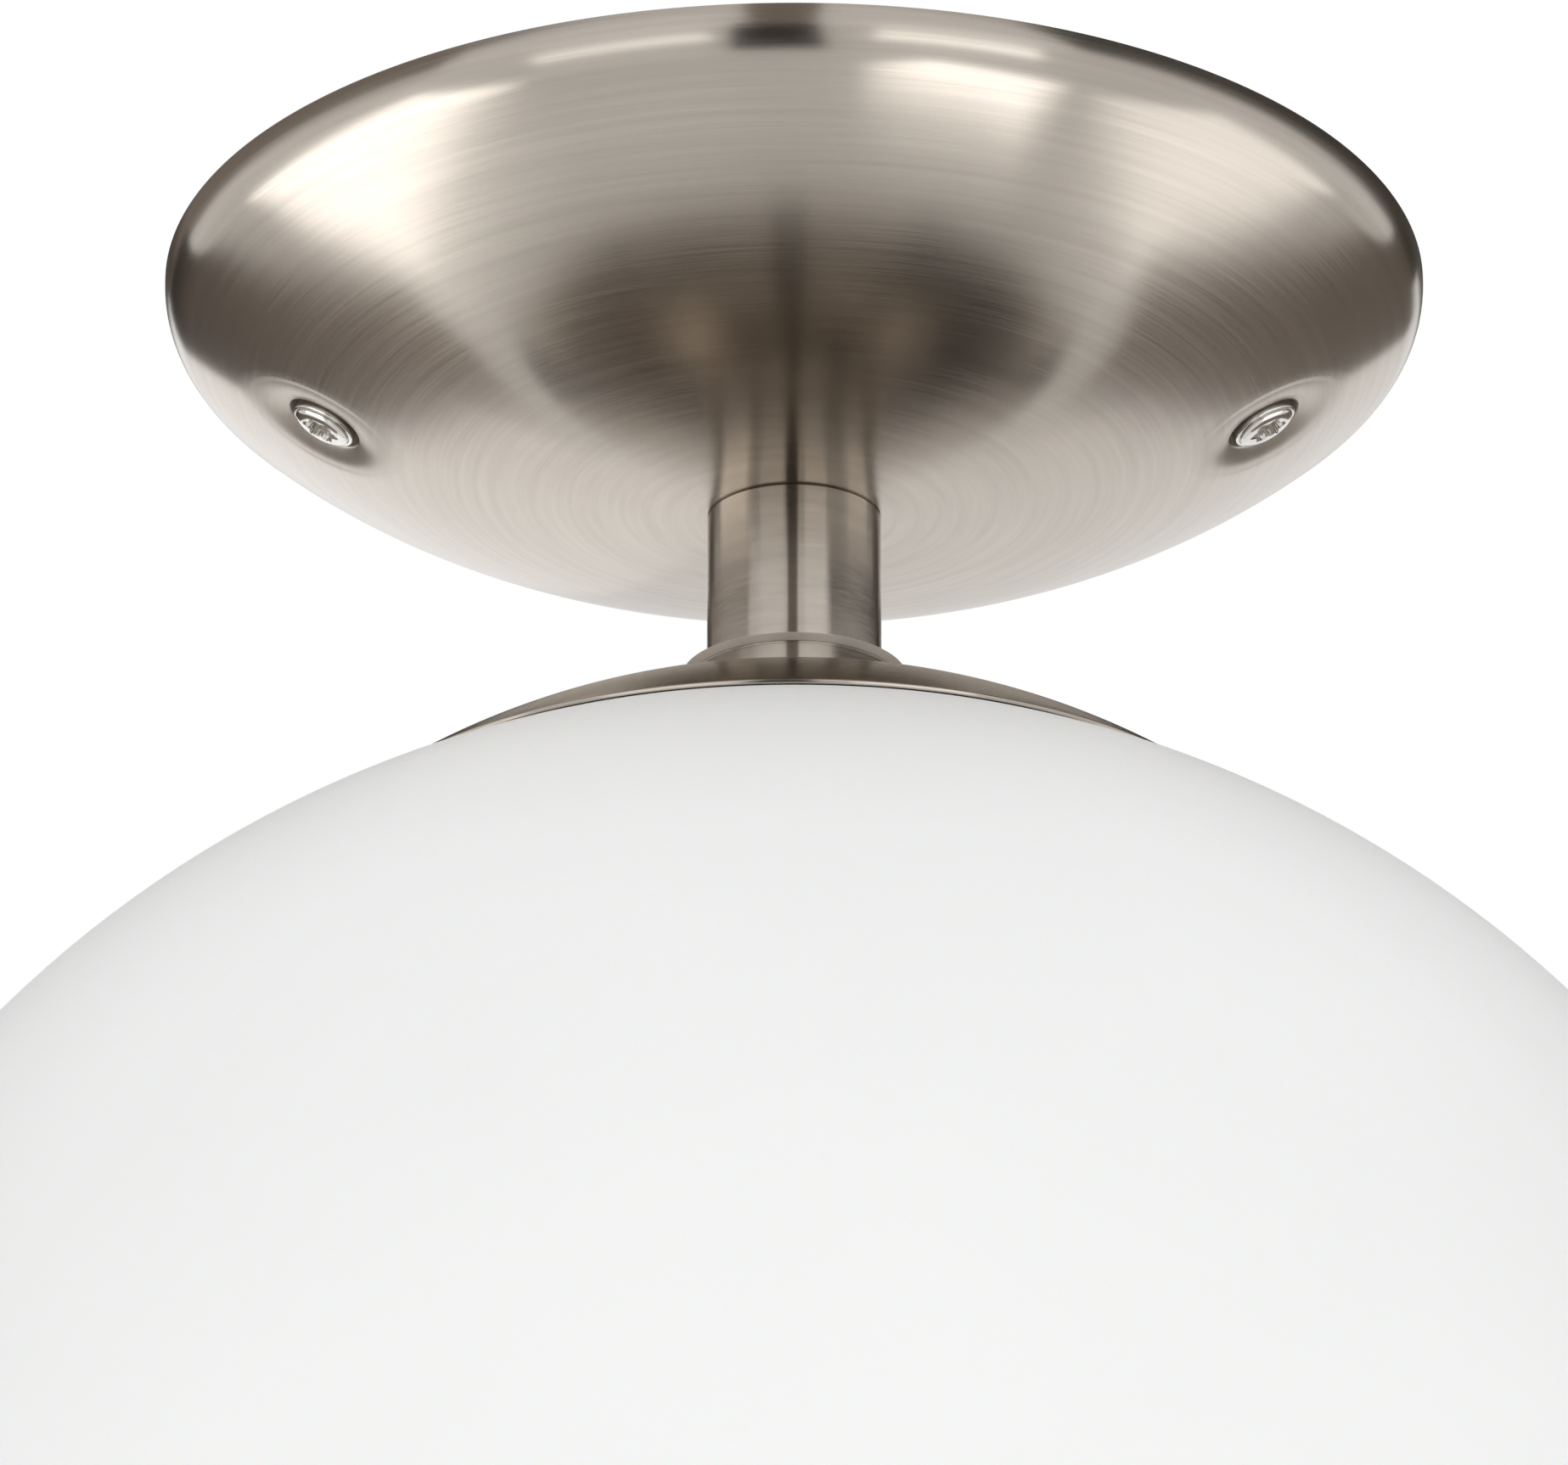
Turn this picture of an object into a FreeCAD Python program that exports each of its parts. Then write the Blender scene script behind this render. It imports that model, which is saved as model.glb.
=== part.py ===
import FreeCAD, Part
import math
import os

# Semi-flush ceiling light: a dished metal canopy, a short stem, a metal cap and an opal glass globe.
# Millimetres, +Z up. The origin is the middle of the ceiling plane, so everything hangs below z = 0.

V = FreeCAD.Vector

# Canopy, the dished plate against the ceiling
canopy_d = 150.0
canopy_sheet = 1.0
crown_radius = 155.0
crown_d = 72.0
shoulder_radius = 86.0
rim_radius = 7.7
rim_wall = 0.5

# Dimples in which the two canopy screws sit
screw_inset = 18.7
dimple_d = 20.0
dimple_depth = 3.3
dimple_floor_d = 9.6
dimple_wall = 1.2
dimple_lip = 0.5
dimple_flare_deg = 35.0
dimple_end_deg = 5.0

# Canopy screws and their washers
screw_thread_d = 4.0
screw_length = 10.0
screw_head_d = 8.0
screw_head_h = 2.6
screw_dome_h = 1.1
socket_d = 3.9
socket_lobe_d = 0.95
socket_depth = 1.6
screw_washer_d = 8.8
screw_washer_t = 0.7

# Ceiling bracket
strap_t = 2.0
strap_w = 20.0
strap_flat_l = 78.0
tab_inner_l = 7.5
tab_outer_l = 7.0
tab_gap = 1.5
slot_spacing = 56.0
slot_l = 14.0
slot_w = 4.6
arm_w = 24.0
arm_end_gap = 1.0

# Stem
stem_d = 20.5
stem_wall = 1.0
stem_show = 20.4
rod_d = 10.0
rod_bore = 7.8
rod_above_nut = 1.5
nut_across = 14.0
nut_h = 4.0
washer_d = 19.0
washer_t = 1.5
bush_flange_d = 11.4
bush_flange_t = 1.2
bush_l = 6.0
bush_bore = 6.0

# Collar at the foot of the stem
collar_d = 26.6
collar_h = 6.55
collar_bevel_w = 0.85
collar_bevel_h = 0.7
collar_socket = 1.5

# Cap over the top of the globe
cap_radius = 90.0
cap_rim_d = 108.4
cap_sheet = 0.8
cap_land = 0.3
cap_edge_round = 0.2

# Gallery, the threaded holder under the cap
gallery_t = 1.6
gallery_gap = 0.35
gallery_d = 74.2
gallery_wall = 2.0
gallery_l = 27.0
vent_d = 7.0
vent_circle_d = 48.0
vent_count = 6

# Globe, its threaded ring, lock ring and gasket
globe_d = 250.0
globe_wall = 3.0
rim_gap = 0.3
ring_wall = 2.8
ring_flange_t = 1.4
ring_barrel_l = 13.0
lock_ring_w = 4.8
lock_ring_h = 4.0
gasket_t = 0.95
gasket_inset = 1.3

# Lampholder
holder_d = 40.0
holder_boss_d = 16.0
holder_boss_l = 6.0
holder_wall = 1.6
holder_dome_l = 20.0
holder_step = 2.0
holder_skirt_d = 37.6
holder_skirt_l = 38.0
holder_joint_l = 4.0
holder_core_h = 10.0
pillar_size = 6.0
pillar_out = 9.0
pillar_bore_l = 4.0
contact_pin_d = 2.4
contact_pin_out = 3.0
contact_strip_t = 0.8
contact_drop = 2.4
tongue_w = 4.0
clamp_screw_d = 2.6
clamp_head_d = 4.4
clamp_head_t = 1.5
shell_t = 0.6
shell_l = 22.0
shell_hole_d = 13.0

# Bulb
bulb_cap_d = 26.1
bulb_cap_l = 23.0
bulb_cap_wall = 0.8
bulb_d = 60.0
bulb_l = 106.0
bulb_neck_d = 25.6
bulb_wall = 1.0
bulb_insulator_h = 3.0
bulb_contact_d = 9.6
bulb_contact_h = 1.6

# Terminal block, earth point and inner wires
pole_pitch = 9.3
pole_count = 3
block_w = 17.0
block_h = 14.0
block_set_back = 20.0
insert_w = 5.0
insert_h = 5.5
insert_l = 13.0
insert_bore = 3.4
block_screw_d = 2.8
block_screw_l = 5.2
block_screw_out = 3.6
block_well_d = 4.0
fixing_d = 3.0
fixing_head_d = 5.4
fixing_head_h = 1.8
earth_x = -22.0
tag_d = 8.4
tag_t = 0.8
tag_barrel_d = 3.5
tag_barrel_l = 5.5
tag_reach = 6.5
earth_washer_t = 0.8
earth_head_d = 7.6
earth_head_h = 2.4
wire_d = 2.2
wire_entry = 6.0
wire_side = 1.4
wire_turn_z = 12.0
wire_radius = 8.0
wire_end_radius = 5.0
earth_wire_radius = 4.4
earth_wire_z = 4.2

# Clearances
slip = 0.05
loose = 0.3
hole_play = 0.25
seat_margin = 0.3
thread_play = 0.3
socket_play = 0.25
glass_play = 0.5
lock_play = 0.36
cover_play = 0.7
eps = 0.01

# Radii used again and again
canopy_r = canopy_d / 2
crown_r = crown_d / 2
stem_r = stem_d / 2
seat_r = stem_r + seat_margin
rod_r = rod_d / 2
cap_rim_r = cap_rim_d / 2
cap_seat_r = collar_d / 2 - collar_bevel_w + seat_margin
shell_r = bulb_cap_d / 2 + socket_play + shell_t
globe_r = globe_d / 2
wire_r = wire_d / 2

# Distance of a canopy screw from the axis, where it crosses the canopy's surface
screw_reach = canopy_r - screw_inset

# Angles of the canopy's surface, measured from level
seat_angle = math.asin(seat_r / crown_radius)
crown_angle = math.asin(crown_r / crown_radius)
shoulder_start_r = (crown_radius - shoulder_radius) * math.sin(crown_angle)
rim_angle = math.asin((canopy_r - rim_radius - shoulder_start_r) / (shoulder_radius - rim_radius))
screw_angle = math.asin((screw_reach - shoulder_start_r) / shoulder_radius)

# Heights of the canopy's arcs
crown_rise = crown_radius * (math.cos(seat_angle) - math.cos(crown_angle))
shoulder_rise = shoulder_radius * (math.cos(crown_angle) - math.cos(rim_angle))
rim_rise = rim_radius * math.cos(rim_angle)
canopy_depth = rim_wall + rim_rise + shoulder_rise + crown_rise
crown_centre_z = crown_radius * math.cos(seat_angle) - canopy_depth
shoulder_centre_z = crown_centre_z - (crown_radius - shoulder_radius) * math.cos(crown_angle)
rim_centre_r = canopy_r - rim_radius
rim_centre_z = -rim_wall

# Stack of levels down the axis
canopy_inner_z = canopy_sheet - canopy_depth
top_washer_z = canopy_inner_z + washer_t
top_nut_z = top_washer_z + nut_h
rod_top_z = top_nut_z + rod_above_nut
collar_top_z = -canopy_depth - stem_show
cap_seat_z = collar_top_z - collar_h
cap_centre_z = cap_seat_z - math.sqrt(cap_radius ** 2 - cap_seat_r ** 2)
cap_inner_z = cap_seat_z - cap_sheet
cap_inner_radius = cap_radius - cap_sheet
cap_rim_z = cap_centre_z + math.sqrt(cap_radius ** 2 - cap_rim_r ** 2)
gallery_under_z = cap_inner_z - gallery_t
low_washer_z = gallery_under_z - washer_t
low_nut_z = low_washer_z - nut_h
holder_top_z = low_nut_z - loose
rod_low_z = holder_top_z - holder_boss_l
holder_joint_z = holder_top_z - holder_dome_l
core_top_z = holder_joint_z - holder_step
core_low_z = core_top_z - holder_core_h
holder_low_z = holder_joint_z - holder_skirt_l
bulb_top_z = core_low_z - contact_drop

# Levels of the globe
land_radius = cap_radius - cap_land
land_r = cap_rim_r * land_radius / cap_radius
land_z = cap_centre_z + math.sqrt(land_radius ** 2 - land_r ** 2)
globe_centre_z = land_z - math.sqrt((globe_r + rim_gap) ** 2 - land_r ** 2)
globe_inner_r = globe_r - globe_wall
ring_inner_r = gallery_d / 2 + thread_play
ring_outer_r = ring_inner_r + ring_wall
globe_hole_r = ring_outer_r + glass_play
globe_cut_z = globe_centre_z + math.sqrt(globe_inner_r ** 2 - globe_hole_r ** 2)
ring_top_z = globe_cut_z + ring_flange_t
gasket_top_z = ring_top_z + gasket_t

# Seat of a canopy screw, and the way it points
screw_out = V(math.sin(screw_angle), 0, -math.cos(screw_angle))
screw_surface = V(screw_reach, 0, shoulder_centre_z - shoulder_radius * math.cos(screw_angle))
screw_seat = screw_surface - screw_out * dimple_depth

# Terminal block
block_l = pole_pitch * pole_count
block_top_z = -strap_t
bore_z = block_top_z - block_h * 0.43
block_low_z = block_top_z - block_h


def sphere_z(radius, centre_z, r):
    """Height of the upper side of a ball at a distance r from the axis."""
    return centre_z + math.sqrt(radius ** 2 - r ** 2)


def sphere_r(radius, centre_z, z):
    """Distance from the axis of a ball's surface at the height z."""
    return math.sqrt(radius ** 2 - (z - centre_z) ** 2)


def turned(start, *steps):
    """Solid turned about Z. A step is an end point, or the middle and end points of an arc."""
    here = V(start[0], 0, start[1])
    first = here
    edges = []
    for step in steps:
        stops = [V(r, 0, z) for r, z in step]
        if len(stops) == 1:
            edges.append(Part.makeLine(here, stops[0]))
        else:
            edges.append(Part.Arc(here, stops[0], stops[1]).toShape())
        here = stops[-1]
    edges.append(Part.makeLine(here, first))
    face = Part.Face(Part.Wire(edges))
    return face.revolve(V(0, 0, 0), V(0, 0, 1), 360)


def ring(outer_d, inner_d, low_z, high_z):
    """Plain ring about the Z axis."""
    outer = Part.makeCylinder(outer_d / 2, high_z - low_z, V(0, 0, low_z))
    inner = Part.makeCylinder(inner_d / 2, high_z - low_z + 2, V(0, 0, low_z - 1))
    return outer.cut(inner)


def rod_hole(low_z, high_z):
    """Clearance hole for the threaded rod."""
    return Part.makeCylinder(rod_r + hole_play, high_z - low_z, V(0, 0, low_z))


def block(x_low, x_high, y_low, y_high, z_low, z_high):
    """Box between two corners."""
    return Part.makeBox(x_high - x_low, y_high - y_low, z_high - z_low, V(x_low, y_low, z_low))


def hexagon(across, low_z, high_z):
    """Hexagonal prism about the Z axis."""
    corner_r = across / math.sqrt(3)
    corners = []
    for i in range(7):
        angle = math.radians(60 * i)
        corners.append(V(corner_r * math.cos(angle), corner_r * math.sin(angle), low_z))
    face = Part.Face(Part.makePolygon(corners))
    return face.extrude(V(0, 0, high_z - low_z))


def at_screw(shape, turn_deg):
    """Moves a shape made about its own Z axis to a canopy screw's seat, outward along the screw."""
    placed = shape.copy()
    placed.rotate(V(0, 0, 0), V(0, 1, 0), 180 - math.degrees(screw_angle))
    placed.translate(screw_seat)
    placed.rotate(V(0, 0, 0), V(0, 0, 1), turn_deg)
    return placed


def canopy_form(inset):
    """The canopy's dished form, filled, with its skin set in by inset."""
    crown = crown_radius - inset
    shoulder = shoulder_radius - inset
    rim = rim_radius - inset
    seat_z = inset - canopy_depth
    flat_r = math.sqrt(crown ** 2 - (crown_centre_z - seat_z) ** 2)
    flat_angle = math.asin(flat_r / crown)

    def on_crown(angle):
        return (crown * math.sin(angle), crown_centre_z - crown * math.cos(angle))

    def on_shoulder(angle):
        return (shoulder_start_r + shoulder * math.sin(angle), shoulder_centre_z - shoulder * math.cos(angle))

    def on_rim(angle):
        return (rim_centre_r + rim * math.sin(angle), rim_centre_z - rim * math.cos(angle))

    crown_mid = on_crown((flat_angle + crown_angle) / 2)
    shoulder_mid = on_shoulder((crown_angle + rim_angle) / 2)
    rim_mid = on_rim((rim_angle + math.pi / 2) / 2)
    return turned(
        (0, 0),
        ((0, seat_z),),
        ((flat_r, seat_z),),
        (crown_mid, on_crown(crown_angle)),
        (shoulder_mid, on_shoulder(rim_angle)),
        (rim_mid, on_rim(math.pi / 2)),
        ((canopy_r - inset, 0),),
    )


def dimple_form(inset):
    """Space pressed into the canopy round a screw, grown by inset, about Z with its floor at z = 0."""
    floor_r = dimple_floor_d / 2
    start = math.radians(dimple_flare_deg)
    end = -math.radians(dimple_end_deg)
    lip_r = floor_r + dimple_lip * (1 - math.sin(start))
    lip_z = dimple_wall + dimple_lip * math.cos(start)
    flare = (dimple_d / 2 - lip_r) / (math.sin(start) - math.sin(end))
    flare_r = lip_r + flare * math.sin(start)
    flare_z = lip_z - flare * math.cos(start)
    reach = dimple_depth + canopy_sheet

    def on_flare(r):
        return (r, flare_z + math.sqrt((flare - inset) ** 2 - (r - flare_r) ** 2))

    edge_r = dimple_d / 2
    if inset:
        wall_r = floor_r + inset
        first = on_flare(wall_r)
        middle = on_flare((wall_r + edge_r) / 2)
        rise = (((wall_r, -inset),), (first,))
    else:
        half = (math.pi / 2 + start) / 2
        lip_mid_r = floor_r + dimple_lip * (1 - math.sin(half))
        lip_mid_z = dimple_wall + dimple_lip * math.cos(half)
        middle = on_flare((lip_r + edge_r) / 2)
        lip = ((lip_mid_r, lip_mid_z), (lip_r, lip_z))
        rise = (((floor_r, 0),), ((floor_r, dimple_wall),), lip)
    return turned((0, -inset), *rise, (middle, on_flare(edge_r)), ((edge_r, reach),), ((0, reach),))


def make_canopy():
    """Dished sheet with a flat seat for the stem and two dimples for its screws."""
    outside = canopy_form(0)
    inside = canopy_form(canopy_sheet)
    for turn in (0, 180):
        outside = outside.cut(at_screw(dimple_form(0), turn))
        inside = inside.cut(at_screw(dimple_form(canopy_sheet), turn))
    shell = outside.cut(inside)
    hole_r = screw_thread_d / 2 + hole_play
    for turn in (0, 180):
        hole = Part.makeCylinder(hole_r, 4 * canopy_sheet, V(0, 0, -2 * canopy_sheet))
        shell = shell.cut(at_screw(hole, turn))
    return shell.cut(rod_hole(-canopy_depth - 1, canopy_inner_z + 1))


def make_screw_washer():
    """Flat washer on the floor of the dimple, about Z."""
    return ring(screw_washer_d, screw_thread_d + 2 * hole_play, eps, screw_washer_t - eps)


def make_canopy_screw():
    """Pan head screw with a six-lobed socket, about Z, its head outward."""
    head_r = screw_head_d / 2
    side_z = screw_washer_t + screw_head_h - screw_dome_h
    top_z = screw_washer_t + screw_head_h
    flat_r = head_r * 0.45
    middle = (head_r * 0.82, side_z + screw_dome_h * 0.66)
    head = turned(
        (0, screw_washer_t),
        ((head_r, screw_washer_t),),
        ((head_r, side_z),),
        (middle, (flat_r, top_z)),
        ((0, top_z),),
    )
    shank_low = screw_washer_t - screw_length
    tip = screw_thread_d / 8
    shank = Part.makeCylinder(screw_thread_d / 2, screw_length - tip, V(0, 0, shank_low + tip))
    point = Part.makeCone(screw_thread_d / 2 - tip, screw_thread_d / 2, tip, V(0, 0, shank_low))
    lobe_r = socket_lobe_d / 2
    lobe_out = socket_d / 2 - lobe_r
    socket = Part.makeCylinder(lobe_out - lobe_r / 4, socket_depth + 1, V(0, 0, top_z - socket_depth))
    for i in range(6):
        angle = math.radians(60 * i)
        foot = V(lobe_out * math.cos(angle), lobe_out * math.sin(angle), top_z - socket_depth)
        socket = socket.fuse(Part.makeCylinder(lobe_r, socket_depth + 1, foot))
    return head.fuse([shank, point]).removeSplitter().cut(socket)


def slab(x1, z1, x2, z2):
    """Stretch of the bracket's strip between two points of its middle line, with a rounded far end."""
    length = math.hypot(x2 - x1, z2 - z1)
    plate = Part.makeBox(length, strap_w, strap_t, V(0, -strap_w / 2, -strap_t / 2))
    bend = Part.makeCylinder(strap_t / 2, strap_w, V(length, -strap_w / 2, 0), V(0, 1, 0))
    piece = plate.fuse(bend)
    piece.rotate(V(0, 0, 0), V(0, 1, 0), -math.degrees(math.atan2(z2 - z1, x2 - x1)))
    piece.translate(V(x1, 0, z1))
    return piece


def make_bracket():
    """Strip against the ceiling, with a tapped tab at each end and an arm for the terminal block."""
    middle_z = -strap_t / 2
    flat_half = strap_flat_l / 2
    tab_mid = screw_seat - screw_out * (canopy_sheet + tab_gap + strap_t / 2)
    tab_way = V(math.cos(screw_angle), 0, math.sin(screw_angle))
    tab_in = tab_mid - tab_way * tab_inner_l
    tab_out = tab_mid + tab_way * tab_outer_l
    leg = slab(flat_half, middle_z, tab_in.x, tab_in.z)
    tab = slab(tab_in.x, tab_in.z, tab_out.x, tab_out.z)
    end = leg.fuse(tab)
    other = end.copy()
    other.rotate(V(0, 0, 0), V(0, 0, 1), 180)
    flat = block(-flat_half, flat_half, -strap_w / 2, strap_w / 2, -strap_t, 0)
    arm_end = block_set_back + block_w - arm_end_gap
    arm = block(-arm_w / 2, arm_w / 2, 0, arm_end, -strap_t, 0)
    bends = [Part.makeCylinder(strap_t / 2, strap_w, V(side * flat_half, -strap_w / 2, middle_z), V(0, 1, 0))
             for side in (-1, 1)]
    plate = flat.fuse([arm, end, other] + bends).removeSplitter()
    for turn in (0, 180):
        tapped = Part.makeCylinder(screw_thread_d / 2 + slip, 30, V(0, 0, -30))
        plate = plate.cut(at_screw(tapped, turn))
    for side in (-1, 1):
        plate = plate.cut(make_slot(side * slot_spacing / 2))
        fixing = Part.makeCylinder(fixing_d / 2 + slip, 3 * strap_t, V(side * pole_pitch / 2, block_mid_y(), -2 * strap_t))
        plate = plate.cut(fixing)
    earth_hole = Part.makeCylinder(screw_thread_d / 2 + slip, 3 * strap_t, V(earth_x, 0, -2 * strap_t))
    return plate.cut(earth_hole)


def block_mid_y():
    """Middle of the terminal block along Y."""
    return block_set_back + block_w / 2


def make_slot(x):
    """Round-ended slot along X for a ceiling screw."""
    half = (slot_l - slot_w) / 2
    low_z = -2 * strap_t
    tool = block(x - half, x + half, -slot_w / 2, slot_w / 2, low_z, strap_t)
    ends = [Part.makeCylinder(slot_w / 2, strap_t - low_z, V(x + side * half, 0, low_z)) for side in (-1, 1)]
    return tool.fuse(ends)


def make_stem_tube():
    """Straight tube between the canopy and the collar."""
    return ring(stem_d, stem_d - 2 * stem_wall, collar_top_z - collar_socket, -canopy_depth)


def make_stem_rod():
    """Hollow threaded rod that clamps canopy, stem, collar, cap and gallery together."""
    return ring(rod_d, rod_bore, rod_low_z, rod_top_z)


def make_nut(low_z):
    """Hexagon nut on the rod, with its corners bevelled."""
    nut = hexagon(nut_across, low_z, low_z + nut_h)
    bevel_r = nut_across / math.sqrt(3)
    rise = (bevel_r - nut_across / 2) * 0.6
    inner_r = nut_across / 2 * 0.98
    keep = turned(
        (0, low_z),
        ((inner_r, low_z),),
        ((bevel_r, low_z + rise),),
        ((bevel_r, low_z + nut_h - rise),),
        ((inner_r, low_z + nut_h),),
        ((0, low_z + nut_h),),
    )
    thread = Part.makeCylinder(rod_r + slip, nut_h + 2, V(0, 0, low_z - 1))
    return nut.common(keep).cut(thread)


def make_washer(low_z):
    """Washer on the rod."""
    return ring(washer_d, rod_d + 2 * hole_play, low_z, low_z + washer_t)


def make_bush():
    """Flanged sleeve that keeps the wires off the rod's upper edge."""
    stalk = ring(rod_bore - 2 * slip, bush_bore, rod_top_z - bush_l, rod_top_z + bush_flange_t)
    flange = ring(bush_flange_d, bush_bore, rod_top_z, rod_top_z + bush_flange_t)
    return stalk.fuse(flange).removeSplitter()


def make_collar():
    """Turned ring with a bevelled lower edge; the stem stands in its socket."""
    top_r = collar_d / 2
    side_r = top_r - collar_bevel_w
    body = turned(
        (0, collar_top_z),
        ((top_r, collar_top_z),),
        ((side_r, collar_top_z - collar_bevel_h),),
        ((side_r, cap_seat_z),),
        ((0, cap_seat_z),),
    )
    socket = Part.makeCylinder(stem_r + slip, collar_socket + 1, V(0, 0, collar_top_z - collar_socket))
    return body.cut([socket, rod_hole(cap_seat_z - 1, collar_top_z + 1)])


def cap_form(inset):
    """The cap's domed form, filled, with its skin set in by inset."""
    radius = cap_radius - inset
    seat_z = cap_seat_z - inset
    flat_r = sphere_r(radius, cap_centre_z, seat_z)
    edge_r = cap_rim_r * radius / cap_radius
    mid_r = (flat_r + edge_r) / 2
    return turned(
        (0, cap_centre_z),
        ((0, seat_z),),
        ((flat_r, seat_z),),
        ((mid_r, sphere_z(radius, cap_centre_z, mid_r)), (edge_r, sphere_z(radius, cap_centre_z, edge_r))),
    )


def make_cap():
    """Domed cap over the globe's opening; its edge is eased outside and relieved inside along the glass."""
    shell = cap_form(0).cut(cap_form(cap_sheet))
    shell = shell.cut(rod_hole(cap_inner_z - 1, cap_seat_z + 1))
    shell = shell.cut(Part.makeSphere(globe_r + rim_gap, V(0, 0, globe_centre_z)))
    rims = [edge for edge in shell.Edges if edge.Closed and abs(edge.Length / (2 * math.pi) - cap_rim_r) < eps]
    return shell.makeFillet(cap_edge_round, rims)


def make_gallery():
    """Domed plate with vents under the cap, ending in the male thread that carries the globe."""
    outer = cap_inner_radius - gallery_gap
    inner = outer - gallery_t
    wall_r = gallery_d / 2
    inner_wall_r = wall_r - gallery_wall
    top_r = sphere_r(outer, cap_centre_z, cap_inner_z)
    under_r = sphere_r(inner, cap_centre_z, gallery_under_z)
    low_z = cap_inner_z - gallery_l
    top_mid = (top_r + wall_r) / 2
    under_mid = (under_r + inner_wall_r) / 2
    wall_z = sphere_z(outer, cap_centre_z, wall_r)
    inner_wall_z = sphere_z(inner, cap_centre_z, inner_wall_r)
    body = turned(
        (0, cap_inner_z),
        ((top_r, cap_inner_z),),
        ((top_mid, sphere_z(outer, cap_centre_z, top_mid)), (wall_r, wall_z)),
        ((wall_r, low_z),),
        ((inner_wall_r, low_z),),
        ((inner_wall_r, inner_wall_z),),
        ((under_mid, sphere_z(inner, cap_centre_z, under_mid)), (under_r, gallery_under_z)),
        ((0, gallery_under_z),),
    )
    body = body.cut(rod_hole(gallery_under_z - 1, cap_inner_z + 1))
    for i in range(vent_count):
        angle = math.radians(360 * i / vent_count)
        foot = V(vent_circle_d / 2 * math.cos(angle), vent_circle_d / 2 * math.sin(angle), low_z)
        body = body.cut(Part.makeCylinder(vent_d / 2, gallery_l, foot))
    return body


def make_globe():
    """Opal glass ball, cut level at the top."""
    outer = Part.makeSphere(globe_r, V(0, 0, globe_centre_z))
    inner = Part.makeSphere(globe_inner_r, V(0, 0, globe_centre_z))
    top = block(-globe_r, globe_r, -globe_r, globe_r, globe_cut_z, globe_centre_z + globe_d)
    return outer.cut(inner).cut(top)


def make_globe_ring():
    """Flanged ring in the globe's opening, with the female thread of the globe."""
    flange_r = sphere_r(cap_inner_radius, cap_centre_z, ring_top_z) - cover_play
    low_z = globe_cut_z - ring_barrel_l
    return turned(
        (ring_inner_r, ring_top_z),
        ((flange_r, ring_top_z),),
        ((flange_r, globe_cut_z),),
        ((ring_outer_r, globe_cut_z),),
        ((ring_outer_r, low_z),),
        ((ring_inner_r, low_z),),
    )


def make_lock_ring():
    """Ring nut inside the globe that holds the flanged ring down on the glass."""
    inner_r = ring_outer_r + slip
    outer_r = inner_r + lock_ring_w
    top_z = sphere_z(globe_inner_r, globe_centre_z, outer_r) - lock_play
    return ring(2 * outer_r, 2 * inner_r, top_z - lock_ring_h, top_z)


def make_gasket():
    """Soft flat ring between the flange of the globe's ring and the cap."""
    outer_r = sphere_r(cap_inner_radius, cap_centre_z, gasket_top_z) - cover_play
    return ring(2 * outer_r, 2 * (ring_inner_r + gasket_inset), ring_top_z + eps, gasket_top_z)


def make_holder_dome():
    """Upper part of the lampholder, threaded on the rod."""
    boss_r = holder_boss_d / 2
    outer_r = holder_d / 2
    swell = outer_r - boss_r
    dome_z = holder_top_z - holder_step - swell
    inner = swell - holder_wall
    slant = math.sqrt(0.5)
    return turned(
        (rod_r + slip, holder_top_z),
        ((boss_r, holder_top_z),),
        ((boss_r, holder_top_z - holder_step),),
        ((boss_r + swell * slant, dome_z + swell * slant), (outer_r, dome_z)),
        ((outer_r, holder_joint_z),),
        ((outer_r - holder_wall, holder_joint_z),),
        ((outer_r - holder_wall, dome_z),),
        ((boss_r + inner * slant, dome_z + inner * slant), (boss_r, dome_z + inner)),
        ((boss_r, rod_low_z),),
        ((rod_r + slip, rod_low_z),),
    )


def make_holder_skirt():
    """Lower part of the lampholder; its shoulder carries the core."""
    outer_r = holder_d / 2
    skirt_r = holder_skirt_d / 2
    joint_r = outer_r - holder_wall - slip
    room_r = joint_r - holder_wall
    bore_r = shell_r + loose
    return turned(
        (room_r, holder_joint_z + holder_joint_l),
        ((joint_r, holder_joint_z + holder_joint_l),),
        ((joint_r, holder_joint_z),),
        ((outer_r, holder_joint_z),),
        ((outer_r, core_low_z + holder_step),),
        ((skirt_r, core_low_z),),
        ((skirt_r, holder_low_z),),
        ((bore_r, holder_low_z),),
        ((bore_r, core_low_z),),
        ((room_r, core_low_z),),
    )


def make_core():
    """Insulating core between the terminals and the threaded shell."""
    core_r = holder_d / 2 - 2 * holder_wall - slip - hole_play
    core = Part.makeCylinder(core_r, holder_core_h, V(0, 0, core_low_z))
    pin_r = contact_pin_d / 2 + slip
    live = Part.makeCylinder(pin_r, holder_core_h + 2, V(contact_pin_out, 0, core_low_z - 1))
    neutral = Part.makeCylinder(pin_r, holder_core_h + 2, V(-pillar_out, 0, core_low_z - 1))
    return core.cut([live, neutral])


def make_shell():
    """Threaded shell that receives the bulb's cap."""
    outer_r = shell_r
    top_z = core_low_z
    low_z = top_z - shell_l
    cup = Part.makeCylinder(outer_r, shell_l, V(0, 0, low_z))
    room = Part.makeCylinder(outer_r - shell_t, shell_l - shell_t + 1, V(0, 0, low_z - 1))
    hole = Part.makeCylinder(shell_hole_d / 2, 3 * shell_t, V(0, 0, top_z - 2 * shell_t))
    return cup.cut([room, hole])


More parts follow.
